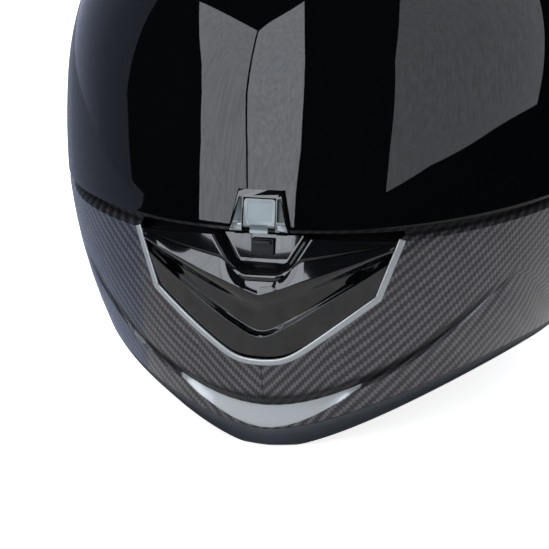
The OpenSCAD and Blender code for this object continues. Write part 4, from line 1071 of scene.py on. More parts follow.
# Pivot, brow and exhaust places, as in the part's source
FLAT_X = HALF_W - STEP_SIDE - 2
BASE_R, HUB_R, TAB_W, TAB_LOW, TAB_TRAVEL = 22.0, 10.0, 13.0, 103.4, 4.0
BROW_T, BROW_HALF, BROW_LO, BROW_HI, BROW_UP = 25.0, 13.0, 219.0, 245.0, 3.6
SLIDER_LO, SLIDER_HI = 225.2, 231.2
SHIM, SKIRT = 0.5, 0.6
SPOILER_T, SPOILER_LO, SPOILER_HI, SPOILER_UP = 48.0, 172.0, 238.0, 10.0
SLIDE_W, SLIDE_Z, SLIDE_H = 14.0, 193.0, 6.0


def pocket_outline():
    """The pivot plate's pocket with the release tab's slot under it, in the side view."""
    half, low, r = TAB_W / 2 + 1, TAB_LOW - TAB_TRAVEL - 1.2, BASE_R + 0.8
    start = math.asin(half / r)
    a = np.linspace(start, 2 * math.pi - start, 72) - math.pi / 2
    arc = np.stack([PIVOT_Y + r * np.cos(a), PIVOT_Z + r * np.sin(a)], -1)
    return np.concatenate([arc, [[PIVOT_Y - half, low], [PIVOT_Y + half, low]]])


def exhaust_outline(grown):
    return hull(np.concatenate([disc(44 + 9 * s, 78 - 1.5 * s, 5 + grown) for s in (-1, 1)]))


def brow_bar(name):
    ob = block(name, (-3, 3), (-6.5, 6.5), (-12, 12))
    return placed(ob, on_skin(BROW_T, (SLIDER_LO + SLIDER_HI) / 2 - 0.4, STEP_CROWN))


cuts = [prism("port_cut", port_outline(128), 0, -1.5 * HALF_W, 1.5 * HALF_W),
        prism("vent_cut", vent_outline(0), 1, -FRONT_Y - 20, -100),
        block("spoiler_cut", (SLIDE_W / 2 - 6, SLIDE_W / 2 + 6), (130, 180),
              (SLIDE_Z + 0.8, SLIDE_Z + 5.2))]
for cut in (prism("pocket_cut", pocket_outline(), 0, FLAT_X, FLAT_X + 30), brow_bar("brow_cut"),
            prism("exhaust_cut", exhaust_outline(0), 1, 100, 200)):
    cuts += [cut, mirrored(cut, cut.name + "_right")]
combine(shell, joined(cuts))
soften(shell, 0, smooth=40)


def marked(ob, name, values):
    """Keeps a value with each point of a piece, which its finish reads."""
    ob.data.attributes.new(name, "FLOAT", "POINT").data.foreach_set("value", values)


# How far inside the silver dish's edge a point lies, where a painted reflection is laid, and where painted
# shade darkens the shell, from 0 to 1
DISH_HALF, REFLECTION_EDGE = 24.0, 0.12
x, y, z = (points(shell) / MM).T
t = np.degrees(np.arcsin(np.clip(np.abs(x) / side(z, 2), 0, 1) ** (nose(z) / 2)))
inside = np.minimum(np.minimum(z - dish_edge(t), fold_foot(t) - z), 0.8 * (DISH_HALF - t))
marked(shell, "dish", np.where(y > 0, -1, inside) + REFLECTION_EDGE)
# painted shade: marks the fold's undercut and the groove under the visor, which the carbon's finish darkens
shelf, brow_line = fold_foot(t) - 1.5 * ease(20, 28, t), fold_top(t)
undercut = ease(shelf - 0.3, shelf + 0.5, z) * ease(brow_line + 1.8, brow_line + 0.6, z)
undercut = undercut * ease(0.1, 0.4, fold_taper(t))
groove = ease(ledge(t) - 0.7, ledge(t) + 0.3, z) * (z < PORT_LOW) * ease(80, 60, t)
marked(shell, "recess_shade", np.maximum(undercut, groove) * (y < 0))
fit(shell, CARBON, "outer_shell")

# Edge trim

trim_t = np.arange(240) * 1.5
trim_a, trim_rim = np.abs(sin_d(trim_t)), rim(trim_t)
trim_top, trim_foot = trim_rim - SEAT / 2, np.maximum(0, trim_rim - 10.5 - 2 * trim_a)
flat = np.zeros_like(trim_t)
profile = [(flat, trim_top), (-0.4 + 1.5 * trim_a, mix(trim_top, trim_foot, 0.35)),
           (7.5 * trim_a, mix(trim_top, trim_foot, 0.85)), (9 * trim_a + 1.5, trim_foot),
           (9 * trim_a + 9, trim_foot), (6 * trim_a + 11, mix(trim_top, trim_foot, 0.4)),
           (flat + WALL + 3, trim_top + 5), (flat + WALL + SEAT, trim_top + 5),
           (flat + WALL + SEAT, trim_top)]
section = fillet(np.stack([np.stack(q, -1) for q in profile], 1),
                 (0.7, 2.2, 1.6, 1.2, 1.5, 3.0, 0.8, 0.8, 0.1), 5)
trim = swept("edge_trim_moulded", skin(trim_t[:, None], section[..., 1], section[..., 0]), closed=True)
soften(trim, 0, smooth=40)
fit(trim, TRIM_RUBBER, "edge_trim")

# Visor, its seal and its lens


def turn_at(y, z):
    """Angle of the surface's point at a given y and height."""
    y0 = LEAN_BACK * z
    ahead = y < y0
    reach = np.clip(np.where(ahead, (y0 - y) / (y0 - front(z, 0)), (y - y0) / (back(z, 0) - y0)), 0, 1)
    return np.degrees(np.arccos(np.where(ahead, 1, -1) * reach ** (np.where(ahead, nose(z), EVEN) / 2)))


def visor_low_at(t):
    return mix(visor_edge(t), PIVOT_Z - EAR_R, ease(-60, PIVOT_Y, skin(t, PIVOT_Z)[..., 1]))


def visor_high_at(t):
    over = VISOR_HIGH - 14 * sin_d(t) ** 2
    return mix(over, PIVOT_Z + EAR_R, ease(-75, PIVOT_Y, skin(t, PIVOT_Z)[..., 1]))


def visor_rings(steps):
    """Rings of the visor from its outline in to the line along its middle, as angles and heights."""
    ts = np.linspace(90, -90, 121)
    phi = np.linspace(90, -90, 34)[1:-1]
    ear_y, ear_z = PIVOT_Y + EAR_R * cos_d(phi), PIVOT_Z + EAR_R * sin_d(phi)
    high, low = visor_high_at(ts), visor_low_at(ts[::-1])
    rings = []
    for k in steps:
        fan = turn_at(mix(PIVOT_Y, ear_y, k), PIVOT_Z + 0 * ear_y)
        mid = (high + low[::-1]) / 2
        rings.append((np.concatenate([ts[::-1], fan, ts, -fan[::-1]]),
                      np.concatenate([mix(mid, high, k)[::-1], mix(PIVOT_Z, ear_z, k),
                                      mix(mid, low[::-1], k), mix(PIVOT_Z, ear_z, k)[::-1]])))
    return np.array([r[0] for r in rings]), np.array([r[1] for r in rings])


ring_t, ring_z = visor_rings(np.concatenate([[0], np.linspace(0.06, 1, 22)]))
visor = slab("visor_moulded", skin(ring_t, ring_z, 0), skin(ring_t, ring_z, VISOR_T), "tube")
only(visor)
bpy.ops.object.mode_set(mode="EDIT")
bpy.ops.mesh.select_mode(type="FACE")
bpy.ops.mesh.select_all(action="DESELECT")
bpy.ops.mesh.select_interior_faces()  # the wall on the visor's middle line, where its rings meet
bpy.ops.mesh.delete(type="FACE")
bpy.ops.mesh.select_mode(type="VERT")
bpy.ops.object.mode_set(mode="OBJECT")
outward(visor)
hub = prism("hub_cut", disc(PIVOT_Y, PIVOT_Z, HUB_R + 2.5), 0, FLAT_X - 6, FLAT_X + 30)
combine(visor, joined([hub, mirrored(hub, "hub_cut_right")]))
soften(visor, 0.55, 3, 60, 30)
fit(visor, SMOKE, "visor")


def port_loop(count):
    """Closed loop round the eye port: rows of y, z, the outward direction in the side view, and the side."""
    bar = port_outline(256)
    first = int(np.argmin(bar[:, 0] * 10 + bar[:, 1]))
    bar = np.roll(bar, -first, axis=0)
    line = lengths(bar)
    fine = np.linspace(0, line[-1], 6000)
    y, z = np.interp(fine, line, bar[:, 0]), np.interp(fine, line, bar[:, 1])
    dy, dz = np.gradient(y), np.gradient(z)
    keep = y >= front(z, 0)
    y, z, dy, dz = y[keep], z[keep], dy[keep], dz[keep]
    at = skin(turn_at(y, z), z)
    run = lengths(at)
    even = np.linspace(0, run[-1], count)
    y, z, dy, dz = (np.interp(even, run, v) for v in (y, z, dy, dz))
    y[[0, -1]] = front(z[[0, -1]], 0)
    out = np.stack([dz, -dy], -1) / np.hypot(dy, dz)[:, None]
    out[[0, -1]] = [[0, -1], [0, 1]]
    half = np.column_stack([y, z, out, np.ones(count)])
    other = half[-2:0:-1] * [1, 1, 1, 1, -1]
    return np.concatenate([half, other])


def port_point(loop, grown, d):
    y, z = loop[:, 0] + grown * loop[:, 2], loop[:, 1] + grown * loop[:, 3]
    return skin(loop[:, 4] * turn_at(np.maximum(y, front(z, 0)), z), z, d)


loop = port_loop(200)
shell_at = shell_d(turn_at(loop[:, 0], loop[:, 1]), loop[:, 1])
lip = VISOR_T + 0.4
corners = [(6.0, shell_at - 0.8), (6.0, shell_at - 1.5), (4.2, lip + 0.25), (2.2, lip), (-0.4, lip),
           (-1.5, lip + 1.2), (-1.5, shell_at + WALL + 0.3), (-0.2, shell_at + WALL + 0.3),
           (-0.2, shell_at - 0.8)]
seal_profile = fillet(np.stack([np.stack([g + 0 * shell_at, d + 0 * shell_at], -1) for g, d in corners], 1),
                      (0.2, 0.8, 0.8, 0.8, 0.9, 0.8, 0.4, 0.3, 0.1), 3)
seal = swept("eyeport_seal", np.stack([port_point(loop, seal_profile[:, k, 0], seal_profile[:, k, 1])
                                       for k in range(seal_profile.shape[1])], 1), closed=True)
soften(seal, 0, smooth=40)
fit(seal, SEAL_RUBBER, "eyeport_gasket")

LENS_HALF, LENS_GAP, LENS_THICK = 50.0, 0.5, 1.0
lens = patch("antifog_film", np.linspace(-LENS_HALF, LENS_HALF, 61),
             lambda t: PORT_LOW + 6 + 14 * (t / LENS_HALF) ** 4,
             lambda t: PORT_HIGH - 7 - 12 * (t / LENS_HALF) ** 4, 24,
             steady(VISOR_T + LENS_GAP), steady(VISOR_T + LENS_GAP + LENS_THICK))
soften(lens, 0.25, 2, 60)
fit(lens, CLEAR, "antifog_lens")

# Latch

LATCH_FOOT, LATCH_HEAD, LATCH_H, LATCH_T, LEVER_W, PIN_R = 13.7, 9.8, 18.5, 3.6, 14.0, 0.8
LEVER_Y, LEVER_Z, WINDOW_TOP = -2.1, 3.0, 15.0
latch_back = float(face_y(0, VISOR_LOW + LATCH_H) - face_y(0, VISOR_LOW))
LATCH_LEAN = math.atan(latch_back / LATCH_H) - math.radians(0.73)
latch_at = np.eye(4)
latch_at[:3, :3] = np.array(Matrix.Rotation(-LATCH_LEAN, 3, "X"))
latch_at[:3, 3] = [0, face_y(0, VISOR_LOW) - 0.35, VISOR_LOW - 1.2]
lever_at = latch_at.copy()
lever_at[:3, 3] = latch_at[:3, :3] @ [0, LEVER_Y, LEVER_Z] + latch_at[:3, 3]
WINDOW_HALF = LEVER_W / 2 + 0.35


def bored(ob, x, y, z, r):
    """Drills a hole along x."""
    combine(ob, prism("bore", disc(y, z, r, 32), 0, x[0], x[1]))


latch = prism("latch_frame_moulded", [(-LATCH_FOOT, 0), (LATCH_FOOT, 0), (LATCH_HEAD, LATCH_H),
                                      (-LATCH_HEAD, LATCH_H)], 1, -LATCH_T, 0)
combine(latch, prism("hook", [(-LATCH_FOOT + 3, 0.85), (-LATCH_FOOT + 2, -1.2), (LATCH_FOOT - 2, -1.2),
                              (LATCH_FOOT - 3, 0.85)], 1, -0.2, VISOR_T + 1.6), "UNION")
combine(latch, block("window", (-WINDOW_HALF, WINDOW_HALF), (-8, -0.6), (-2, WINDOW_TOP)))
combine(latch, block("relief", (-WINDOW_HALF, WINDOW_HALF), (-0.7, 6), (-2, 2.4)))
for side_sign in (-1, 1):
    for foot, head, deep in ((4.6, WINDOW_TOP - 0.3, 1.7), (0.9, 3.7, 0.4)):
        outer_x = [LATCH_FOOT - (LATCH_FOOT - LATCH_HEAD) * z / LATCH_H - 1.25 for z in (foot, head)]
        cut = prism("facet_cut", [(WINDOW_HALF + 0.55, foot), (outer_x[0], foot), (outer_x[1], head),
                                  (WINDOW_HALF + 0.55, head)], 1, -6, -LATCH_T + 0.5)
        p = points(cut) / MM
        inner_side = (p[:, 0] < WINDOW_HALF + 1) & (p[:, 1] > -5)
        p[inner_side, 1] += deep
        p[:, 0] *= side_sign
        place(cut, p * MM)
        outward(cut)
        combine(latch, cut)
bored(latch, (-LATCH_FOOT + 1.5, LATCH_FOOT - 1.5), LEVER_Y, LEVER_Z, PIN_R)
soften(latch, 0.22, 2, 35)
# faces of the facets beside the window, which get a painted highlight
bright = []
for face in latch.data.polygons:
    x, y, z = (c / MM for c in face.center)
    beside = WINDOW_HALF + 0.4 < abs(x) < LATCH_FOOT and 0.8 < z < WINDOW_TOP
    bright.append(int(beside and -LATCH_T + 0.25 < y < -0.9 and face.normal.y < -0.4))
placed(latch, latch_at)
fit(latch, GLOSS, "latch_frame")
latch.data.materials.append(LEVER)  # the two facets beside the window take the tab's silver grey, a painted highlight in place of a lamp's reflection
latch.data.polygons.foreach_set("material_index", bright)

TAB_H = WINDOW_TOP - LEVER_Z - 0.6
lever = prism("latch_tab", rounded((-LEVER_W / 2, LEVER_W / 2), (0, TAB_H), 1.3), 1, -1.2, 0.9)
combine(lever, prism("knuckle", disc(0, 0, 1.2, 40), 0, -LEVER_W / 2, LEVER_W / 2), "UNION")
combine(lever, block("nose_tab", (-4, 4), (-1.2, 0.6), (-3.6, 0.2)), "UNION")
panel = rounded((-LEVER_W / 2 + 1.5, LEVER_W / 2 - 1.5), (1.9, TAB_H - 1.4), 0.8)
combine(lever, prism("thumb_panel", panel, 1, -3, -0.95))
bored(lever, (-LEVER_W, LEVER_W), 0, 0, PIN_R + 0.05)
soften(lever, 0.3, 3, 35)
placed(lever, lever_at)
fit(lever, LEVER, "latch_lever")

# Chin vent

FACE_W = np.concatenate([-np.linspace(1, 0, 91)[:-1], np.linspace(0, 1, 91)])


def signed(p):
    """The points of a line with those of the wearer's right mirrored."""
    q = p.copy()
    q[..., 0] *= np.sign(FACE_W)
    return q


def moulding(name, face):
    """A panel of the vent, of even thickness along y."""
    return slab(name, face, face + [0, MOULD_T, 0])


w = np.abs(FACE_W)
rows = []
for v in np.concatenate([np.linspace(0, 0.12, 7), np.linspace(0.12, 1, 40)[1:]]):
    groove = line_groove(w) + [0, 0.4]
    p = signed(mix(groove, line_top(w), v))
    rows.append(vent_point(p, 0.5 + trough(p[:, 0], p[:, 1]) - 0.7 * ease(0, 0.12, v)))
cover = moulding("vent_cover_moulded", np.array(rows))
soften(cover, 0.3, 2, 60, 40)
fit(cover, GLOSS, "chin_vent_cover")

rows = []
for v in np.concatenate([np.linspace(0, 0.9, 10), np.linspace(0.94, 1, 4), 1 + np.linspace(0.01, 0.12, 7),
                         1 + np.linspace(0.16, 0.94, 20), [1.97, 2.0, 2.03], 2 + np.linspace(0.08, 1, 12)]):
    lower, upper = ((line_lip, line_ridge) if v <= 1 else (line_ridge, line_crease) if v <= 2
                    else (line_crease, line_groove))
    p = signed(mix(lower(w), upper(w), v - min(2, math.ceil(v) - 1) if v > 0 else 0.0))
    rows.append(vent_point(p, scoop_d(np.array(v)) if v <= 2 else mix(-CREASE_UP, 0.5, v - 2)))
scoop = moulding("vent_scoop_moulded", np.array(rows))


LEAF_X, LEAF_UP, LEAF_HALF, LEAF_TURN = 42.0, 3.2, 2.1, math.radians(31)
LEAF_FOOT, LEAF_HEAD = -6.7, 7.1


def leaf_outline():
    """The scoop's leaf-shaped air slot in the front view, blunt at its upper end."""
    u = np.linspace(0, 1, 40)
    half = LEAF_HALF * np.sin(np.pi * u ** 0.8) ** 0.8
    run = np.stack([mix(LEAF_FOOT, LEAF_HEAD, u), 0 * u], -1)
    shape = np.concatenate([run - [[0, 1]] * half[:, None], (run + [[0, 1]] * half[:, None])[-2:0:-1]])
    c, s = math.cos(LEAF_TURN), math.sin(LEAF_TURN)
    ridge_z = float(line_ridge(np.array(LEAF_X / RIDGE_END))[1])
    return shape @ np.array([[c, s], [-s, c]]) + [LEAF_X, ridge_z + LEAF_UP]


slot_cut = prism("slot_cut", leaf_outline(), 1, -FRONT_Y - 10, -120)
SLIT_HALF, SLIT_FOOT, SLIT_HEAD = 10.0, 0.3, 2.1
slit_x = np.linspace(-SLIT_HALF, SLIT_HALF, 21)
slit_z = line_ridge(np.abs(slit_x) / RIDGE_END)[:, 1]
slit = np.concatenate([np.stack([slit_x, slit_z + SLIT_FOOT], -1),
                       np.stack([slit_x, slit_z + SLIT_HEAD], -1)[::-1]])
slit_cut = prism("slit_cut", slit, 1, -FRONT_Y - 10, -120)
combine(scoop, joined([slot_cut, mirrored(slot_cut, "slot_cut_right"), slit_cut]))
soften(scoop, 0, 2, 60, 40)
fit(scoop, GLOSS, "chin_vent_scoop")

rail_w = np.linspace(-1, 1, 201)
side_of, w = np.sign(rail_w + 1e-12), np.abs(rail_w)
edge_line, inner_line = vent_edge(w), vent_inset(w, BEZEL_W)
crest_low, crest_high = vent_inset(w, 0.5), vent_inset(w, BEZEL_W - 0.5)
bezel_profile = []
for line, d in ((crest_high, -0.2), (crest_high, 0.3), (inner_line, 0.3), (inner_line, -0.3),
                (crest_high, -BEZEL_UP), (crest_low, -BEZEL_UP), (edge_line, -0.3)):
    q = np.stack([line[:, 0] * side_of, line[:, 1]], -1)
    bezel_profile.append(vent_point(q, d))
bezel_section = fillet(np.stack(bezel_profile, 1), (0.1, 0.1, 0.2, 0.35, 0.5, 0.5, 0.3), 4)
bezel = swept("vent_trim_plated", bezel_section)
soften(bezel, 0, smooth=45)
fit(bezel, CHROME, "chin_vent_bezel")

# Brow vents and exhaust


def fairing(name, middle, half, low, high, up, eased, cols, rows):
    """A raised housing with thin edges on the shell.

    low and high are its foot and head in the middle and how far they draw in at its ends. eased says how soon
    it reaches its full depth up, as shares from the ends, the foot and the head.
    """
    def edges(t):
        u = (t - middle) / half
        return u, low[0] + low[1] * u ** 2, high[0] - high[1] * u ** 2

    def depth(t, z):
        u, foot, head = edges(t)
        v = (z - foot) / (head - foot)
        return (shell_d(t, z) - SHIM - SKIRT
                - up * ease(0, eased[0], 1 - np.abs(u)) * ease(0, eased[1], v) * ease(0, eased[2], 1 - v))

    spaced = ease(-0.2, 1.2, np.linspace(0, 1, rows))
    spaced = (spaced - spaced[0]) / (spaced[-1] - spaced[0])
    return patch(name, np.linspace(middle - half, middle + half, cols), lambda t: edges(t)[1],
                 lambda t: edges(t)[2], spaced, depth, lambda t, z: shell_d(t, z) - SHIM)


brow = fairing("brow_intake_left", BROW_T, BROW_HALF, (BROW_LO, 5), (BROW_HI, 12), BROW_UP,
               (0.4, 0.22, 0.5), 49, 37)
combine(brow, brow_bar("brow_opening"))
soften(brow, 0.25, 2, 60, 40)
SLIDER_HALF, SLIDER_GAP, SLIDER_THICK = 4.5, 0.35, 0.85
slider = patch("brow_cover_left", np.linspace(BROW_T - SLIDER_HALF, BROW_T + SLIDER_HALF, 25),
               steady(SLIDER_LO), steady(SLIDER_HI), 13,
               lambda t, z: (shell_d(t, z) - SHIM - SKIRT - BROW_UP - SLIDER_GAP - SLIDER_THICK
                             - 0.5 * ease(1.1, 3.6, z - SLIDER_LO)),
               lambda t, z: shell_d(t, z) - SHIM - SKIRT - BROW_UP - SLIDER_GAP)
soften(slider, 0.3, 3, 50, 40)
fit_pair(brow, "brow_intake_right", GLOSS, "brow_vent")
fit_pair(slider, "brow_cover_right", NYLON, "brow_slider")

spoiler = fairing("exhaust_fairing", 180, SPOILER_T, (SPOILER_LO, 34), (SPOILER_HI, 22), SPOILER_UP,
                  (0.6, 0.2, 0.95), 97, 61)
slot_y = float(back(SLIDE_Z, 0))
combine(spoiler, block("spoiler_slot", (-SLIDE_W - 1, SLIDE_W + 1), (slot_y - 30, slot_y + 30),
                       (SLIDE_Z - 0.4, SLIDE_Z + SLIDE_H + 0.4)))
soften(spoiler, 0.3, 2, 60, 40)
fit(spoiler, GLOSS, "rear_spoiler")

GRILLE_X, GRILLE_Z, SLOT_PITCH, SLOT_HALF, SLOT_TALL, SLOT_DROP = 44.0, 78.0, 4.6, 0.9, 3.5, 0.782
grille = patch("exhaust_grille_moulded_left", np.linspace(148, 176, 57), steady(GRILLE_Z - 12),
               steady(GRILLE_Z + 12), 25, steady(-0.4), steady(3.6))
combine(grille, prism("grille_outline", exhaust_outline(-0.25), 1, 100, 200), "INTERSECT")
slots = []
for k in range(-2, 3):
    x, z = GRILLE_X + SLOT_PITCH * k, GRILLE_Z - SLOT_DROP * k
    slots.append(block("grille_slot", (x - SLOT_HALF, x + SLOT_HALF), (100, 200),
                       (z - SLOT_TALL, z + SLOT_TALL)))
combine(grille, joined(slots))
soften(grille, 0.2, 2, 50, 40)
fit_pair(grille, "exhaust_grille_moulded_right", NYLON, "exhaust_grille")

# Foams and linings


LINER_GAP, LINER_THICK, FOAM_GAP, CHEEK_FACE, COVER_GAP = 1.1, 29.0, 0.8, 34.0, 1.4


def foam_low(t):
    a = turn(t)
    return np.where(a < 86, mix(199, 137, ease(46, 76, a)), mix(137, 46, ease(112, 132, a)))


def foam_in(t, z):
    return inner_d(t, z) + LINER_GAP + LINER_THICK - 6 * (1 - ease(150, 210, z))


def crown_shell(name, low, d_out, d_in, cols, count):
    """A cap over the crown, from a lower edge to the pole, between two depths."""
    ts = np.arange(cols) * 360.0 / cols
    faces = []
    for d in (d_out, d_in):
        top = CROWN_Z - float(d(0, CROWN_Z))
        z = low(ts)[None, :] + (top - low(ts))[None, :] * sin_d(np.linspace(0, 90, count))[:, None]
        t = np.broadcast_to(ts[None, :], z.shape)
        face = skin(t, z, mix(d(t, z), CROWN_Z - top, ease(top - 30, top - 4, z)))
        face[-1] = [0, MID_Y, top]
        faces.append(face)
    return slab(name, faces[0], faces[1], "tube")


liner = crown_shell("impact_liner_moulded", foam_low, lambda t, z: inner_d(t, z) + LINER_GAP, foam_in,
                    144, 40)
soften(liner, 1.2, 3, 50, 40)
fit(liner, FOAM, "impact_liner")


def pad_low(t):
    return foam_low(t) + mix(-3, 4, ease(60, 100, turn(t)))


def quilting(t, z):
    """How deep the crown lining is sewn down: a channel round it and others over it."""
    ring = np.exp(-((z - 196) / 2.6) ** 2) + np.exp(-((z - 168) / 2.6) ** 2)
    spokes = sum(np.exp(-((((t - a + 180) % 360) - 180) / 2.4) ** 2) for a in (0, 52, 128, 180, 232, 308))
    return np.clip(ring * (turn(t) > 40) + spokes * ease(232, 214, z), 0, 1)


def pad_in(t, z):
    hem = np.clip((z - pad_low(t)) / 9, 0, 1)
    puff = np.sqrt(np.maximum(0.02, 1 - (1 - hem) ** 2))
    return foam_in(t, z) + COVER_GAP + 8 * puff * (1 - 0.62 * quilting(t, z)) + 0.6


crown_pad = crown_shell("crown_lining", pad_low, lambda t, z: foam_in(t, z) + COVER_GAP, pad_in, 288, 90)
soften(crown_pad, 0, smooth=60)
fit(crown_pad, LINING, "crown_pad")

chin_foam = patch("chin_foam_moulded", np.linspace(-58, 58, 93), lambda t: rim(t) + 14, steady(93), 33,
                  steady(WALL + FOAM_GAP), steady(WALL + FOAM_GAP + 15))
DUCT_W, DUCT_Z, WINDOW_W, WINDOW_H, SHUTTER_UP = 24.0, 60.0, 18.0, 10.0, 11.0
duct_y = float(face_y(24, 46)) + WALL + 0.6
combine(chin_foam, block("duct_pocket", (-DUCT_W - 0.3, DUCT_W + 0.3), (duct_y - 20, duct_y + 6.5),
                         (DUCT_Z - 10.3, DUCT_Z + 21.3)))
combine(chin_foam, block("thumb_window", (-WINDOW_W, WINDOW_W), (duct_y - 20, duct_y + 40),
                         (DUCT_Z - WINDOW_H / 2, DUCT_Z + WINDOW_H / 2 + SHUTTER_UP - 4)))
combine(chin_foam, prism("vent_room", vent_outline(0.2), 1, -FRONT_Y - 10, -130))
soften(chin_foam, 0, smooth=40)
fit(chin_foam, FOAM, "chin_foam")

cheek_foam = patch("cheek_foam_moulded_left", np.linspace(59.5, 84, 33), lambda t: rim(t) + 8,
                   lambda t: mix(102, 132, ease(62, 82, t)), 41,
                   lambda t, z: WALL + FOAM_GAP + STEP_SIDE * ease(64, 84, z), steady(CHEEK_FACE))
soften(cheek_foam, 1.0, 3, 50, 40)
fit_pair(cheek_foam, "cheek_foam_moulded_right", FOAM, "cheek_foam")


def inflate(ob, voxel, cap, pressure=4.0):
    """Swells a pad in its cover by a short cloth simulation, with no point moved by more than cap mm."""
    modify(ob, "REMESH", mode="VOXEL", voxel_size=voxel * MM)
    start = points(ob)
    only(ob)
    cloth = ob.modifiers.new("Cloth", "CLOTH")
    cloth.settings.use_pressure = True
    cloth.settings.uniform_pressure_force = pressure
    cloth.settings.quality = 6
    cloth.settings.effector_weights.gravity = 0
    cloth.point_cache.frame_start, cloth.point_cache.frame_end = 1, 20
    for k in range(1, 21):
        bpy.context.scene.frame_set(k)
    bpy.ops.object.modifier_apply(modifier=cloth.name)
    bpy.context.scene.frame_set(1)
    move = points(ob) - start
    far = np.linalg.norm(move, axis=1, keepdims=True)
    place(ob, start + move * np.minimum(1, cap * MM / np.maximum(far, 1e-9)))
    modify(ob, "SMOOTH", factor=0.5, iterations=2)
    modify(ob, "SUBSURF", levels=2, render_levels=2)


def sew(ob, distance, width, depth):
    """Draws the cover in along a seam: distance is each point's distance from the seam in mm."""
    normals = np.empty(len(ob.data.vertices) * 3)
    ob.data.vertices.foreach_get("normal", normals)
    pull = depth * np.exp(-(distance / width) ** 2)
    place(ob, points(ob) - normals.reshape(-1, 3) * pull[:, None] * MM)


def on_sides(ob):
    """Angle, height and depth of each point of a piece."""
    p = points(ob) / MM
    z = p[:, 2]
    d = np.zeros(len(p))
    for _ in range(30):
        y0 = LEAN_BACK * z
        n = np.where(p[:, 1] < y0, nose(z), EVEN)
        far = np.where(p[:, 1] < y0, y0 - front(z, d), back(z, d) - y0)
        grow = (np.abs(p[:, 0] / side(z, d)) ** n + np.abs((p[:, 1] - y0) / far) ** n) ** (1 / n)
        d = d + (1 - grow) * np.hypot(p[:, 0], p[:, 1] - y0)
    s = np.clip(np.abs(p[:, 0]) / side(z, d), 0, 1) ** (n / 2)
    t = np.degrees(np.arcsin(s))
    return np.where(p[:, 1] < y0, t, 180 - t) * np.sign(p[:, 0]), z, d


PIPING, GUSSET, PANEL_SEAM, SEAM_T, NO_SEAM = 43.5, 46.0, 0.62, 70.0, 99.0
cheek_pad = patch("cheek_pad_sewn_left", np.linspace(38, 82, 23), lambda t: rim(t) + 8.5,
                  lambda t: mix(102.5, 130.5, ease(50, 80, t)), 25,
                  steady(CHEEK_FACE + 3.6), lambda t, z: 55 - 8 * np.abs((z - 90) / 50) ** 2)
inflate(cheek_pad, 5.0, 5.0)
t, z, d = on_sides(cheek_pad)
height_at = (z - rim(t)) / np.maximum(1, mix(105, 133, ease(50, 80, t)) - rim(t))
sew(cheek_pad, d - PIPING, 1.5, 1.6)
sew(cheek_pad, np.where(d > GUSSET, (height_at - PANEL_SEAM) * 70, NO_SEAM), 1.6, 2.2)
sew(cheek_pad, np.where((d > GUSSET) & (height_at < PANEL_SEAM), t - SEAM_T, NO_SEAM), 1.3, 2.0)
soften(cheek_pad, 0, smooth=80)
for ob in fit_pair(cheek_pad, "cheek_pad_sewn_right", LINING, "cheek_pad"):
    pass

ROLL_TOP, ROLL_OUT, ROLL_IN = 43.0, WALL + 5.5, WALL + 21.5
neck_roll = patch("neck_roll_sewn", np.linspace(108, 252, 73), lambda t: rim(t) + 8.5, steady(ROLL_TOP), 9,
                  steady(ROLL_OUT), lambda t, z: ROLL_IN + 4 * ease(0, 1, (z - 20) / 25))
inflate(neck_roll, 4.0, 4.0)
t, z, d = on_sides(neck_roll)
sew(neck_roll, z - mix(rim(t) + 6, ROLL_TOP + 2.4, 0.5), 1.4, 1.6)
for seam_t in (150, 180, 210):
    sew(neck_roll, (t % 360 - seam_t) * 2.2, 1.5, 1.8)
soften(neck_roll, 0, smooth=80)
fit(neck_roll, LINING, "neck_roll")


def curtain_face(up):
    v, t = np.linspace(0, 1, 19)[:, None], np.linspace(-52, 52, 105)[None, :]
    z = rim(t) + up - 6 * v
    return skin(t + 0 * v, z, WALL + 3 + v * (3 + 35 * cos_d(90 * t / 54)))


curtain = slab("chin_curtain_knit", curtain_face(13.7), curtain_face(12.2))
soften(curtain, 0.4, 2, 60, 60)
fit(curtain, CURTAIN, "chin_curtain")
cells = curtain_face(13)


def guard_face(d):
    v, t = np.linspace(0, 1, 25)[:, None], np.linspace(-30, 30, 61)[None, :]
    return skin(t + 0 * v, 93.3 + v * (24 - 10 * (t / 30) ** 2 - 6 * np.abs(cos_d(3 * t)) ** 6), d + 26 * v)


guard = slab("breath_guard_moulded", guard_face(12), guard_face(14))
soften(guard, 0.6, 3, 60, 50)
fit(guard, SEAL_RUBBER, "breath_guard")

# Chin strap and buckle

STRAP_SIDE = [[12.3, 12, 90], [9.7, 12, 70], [17.2, 12, 50], [26.4, 9, 35], [37.3, 0, 24]]
strap_route = np.array([[float(side(z, 0)) - x, y, z] for x, y, z in STRAP_SIDE]
                       + [[51, -14, 15.5], [44, -20.5, 12.3], [37.5, -22, 10.6], [30, -22, 10.6]], float)


def smooth_route(path, count):
    """A smooth curve through the points of a route, evenly spaced."""
    ext = np.concatenate([[2 * path[0] - path[1]], path, [2 * path[-1] - path[-2]]])
    out = []
    for k in range(1, len(ext) - 2):
        for u in np.linspace(0, 1, 40, endpoint=False):
            p0, p1, p2, p3 = ext[k - 1:k + 3]
            out.append(0.5 * (2 * p1 + (p2 - p0) * u + (2 * p0 - 5 * p1 + 4 * p2 - p3) * u * u
                              + (3 * p1 - p0 - 3 * p2 + p3) * u ** 3))
    out = np.array(out + [path[-1]])
    run = lengths(out)
    even = np.linspace(0, run[-1], count)
    return np.stack([np.interp(even, run, out[:, k]) for k in range(3)], -1), even


def band(route):
    """Directions along, across and out of the face of a flat band on a route."""
    v = np.gradient(route, axis=0)
    v /= np.linalg.norm(v, axis=1, keepdims=True)
    wide = np.array([0, 1.0, 0]) - v * v[:, 1:2]
    u = wide / np.linalg.norm(wide, axis=1, keepdims=True)
    return v, u, np.cross(v, u)


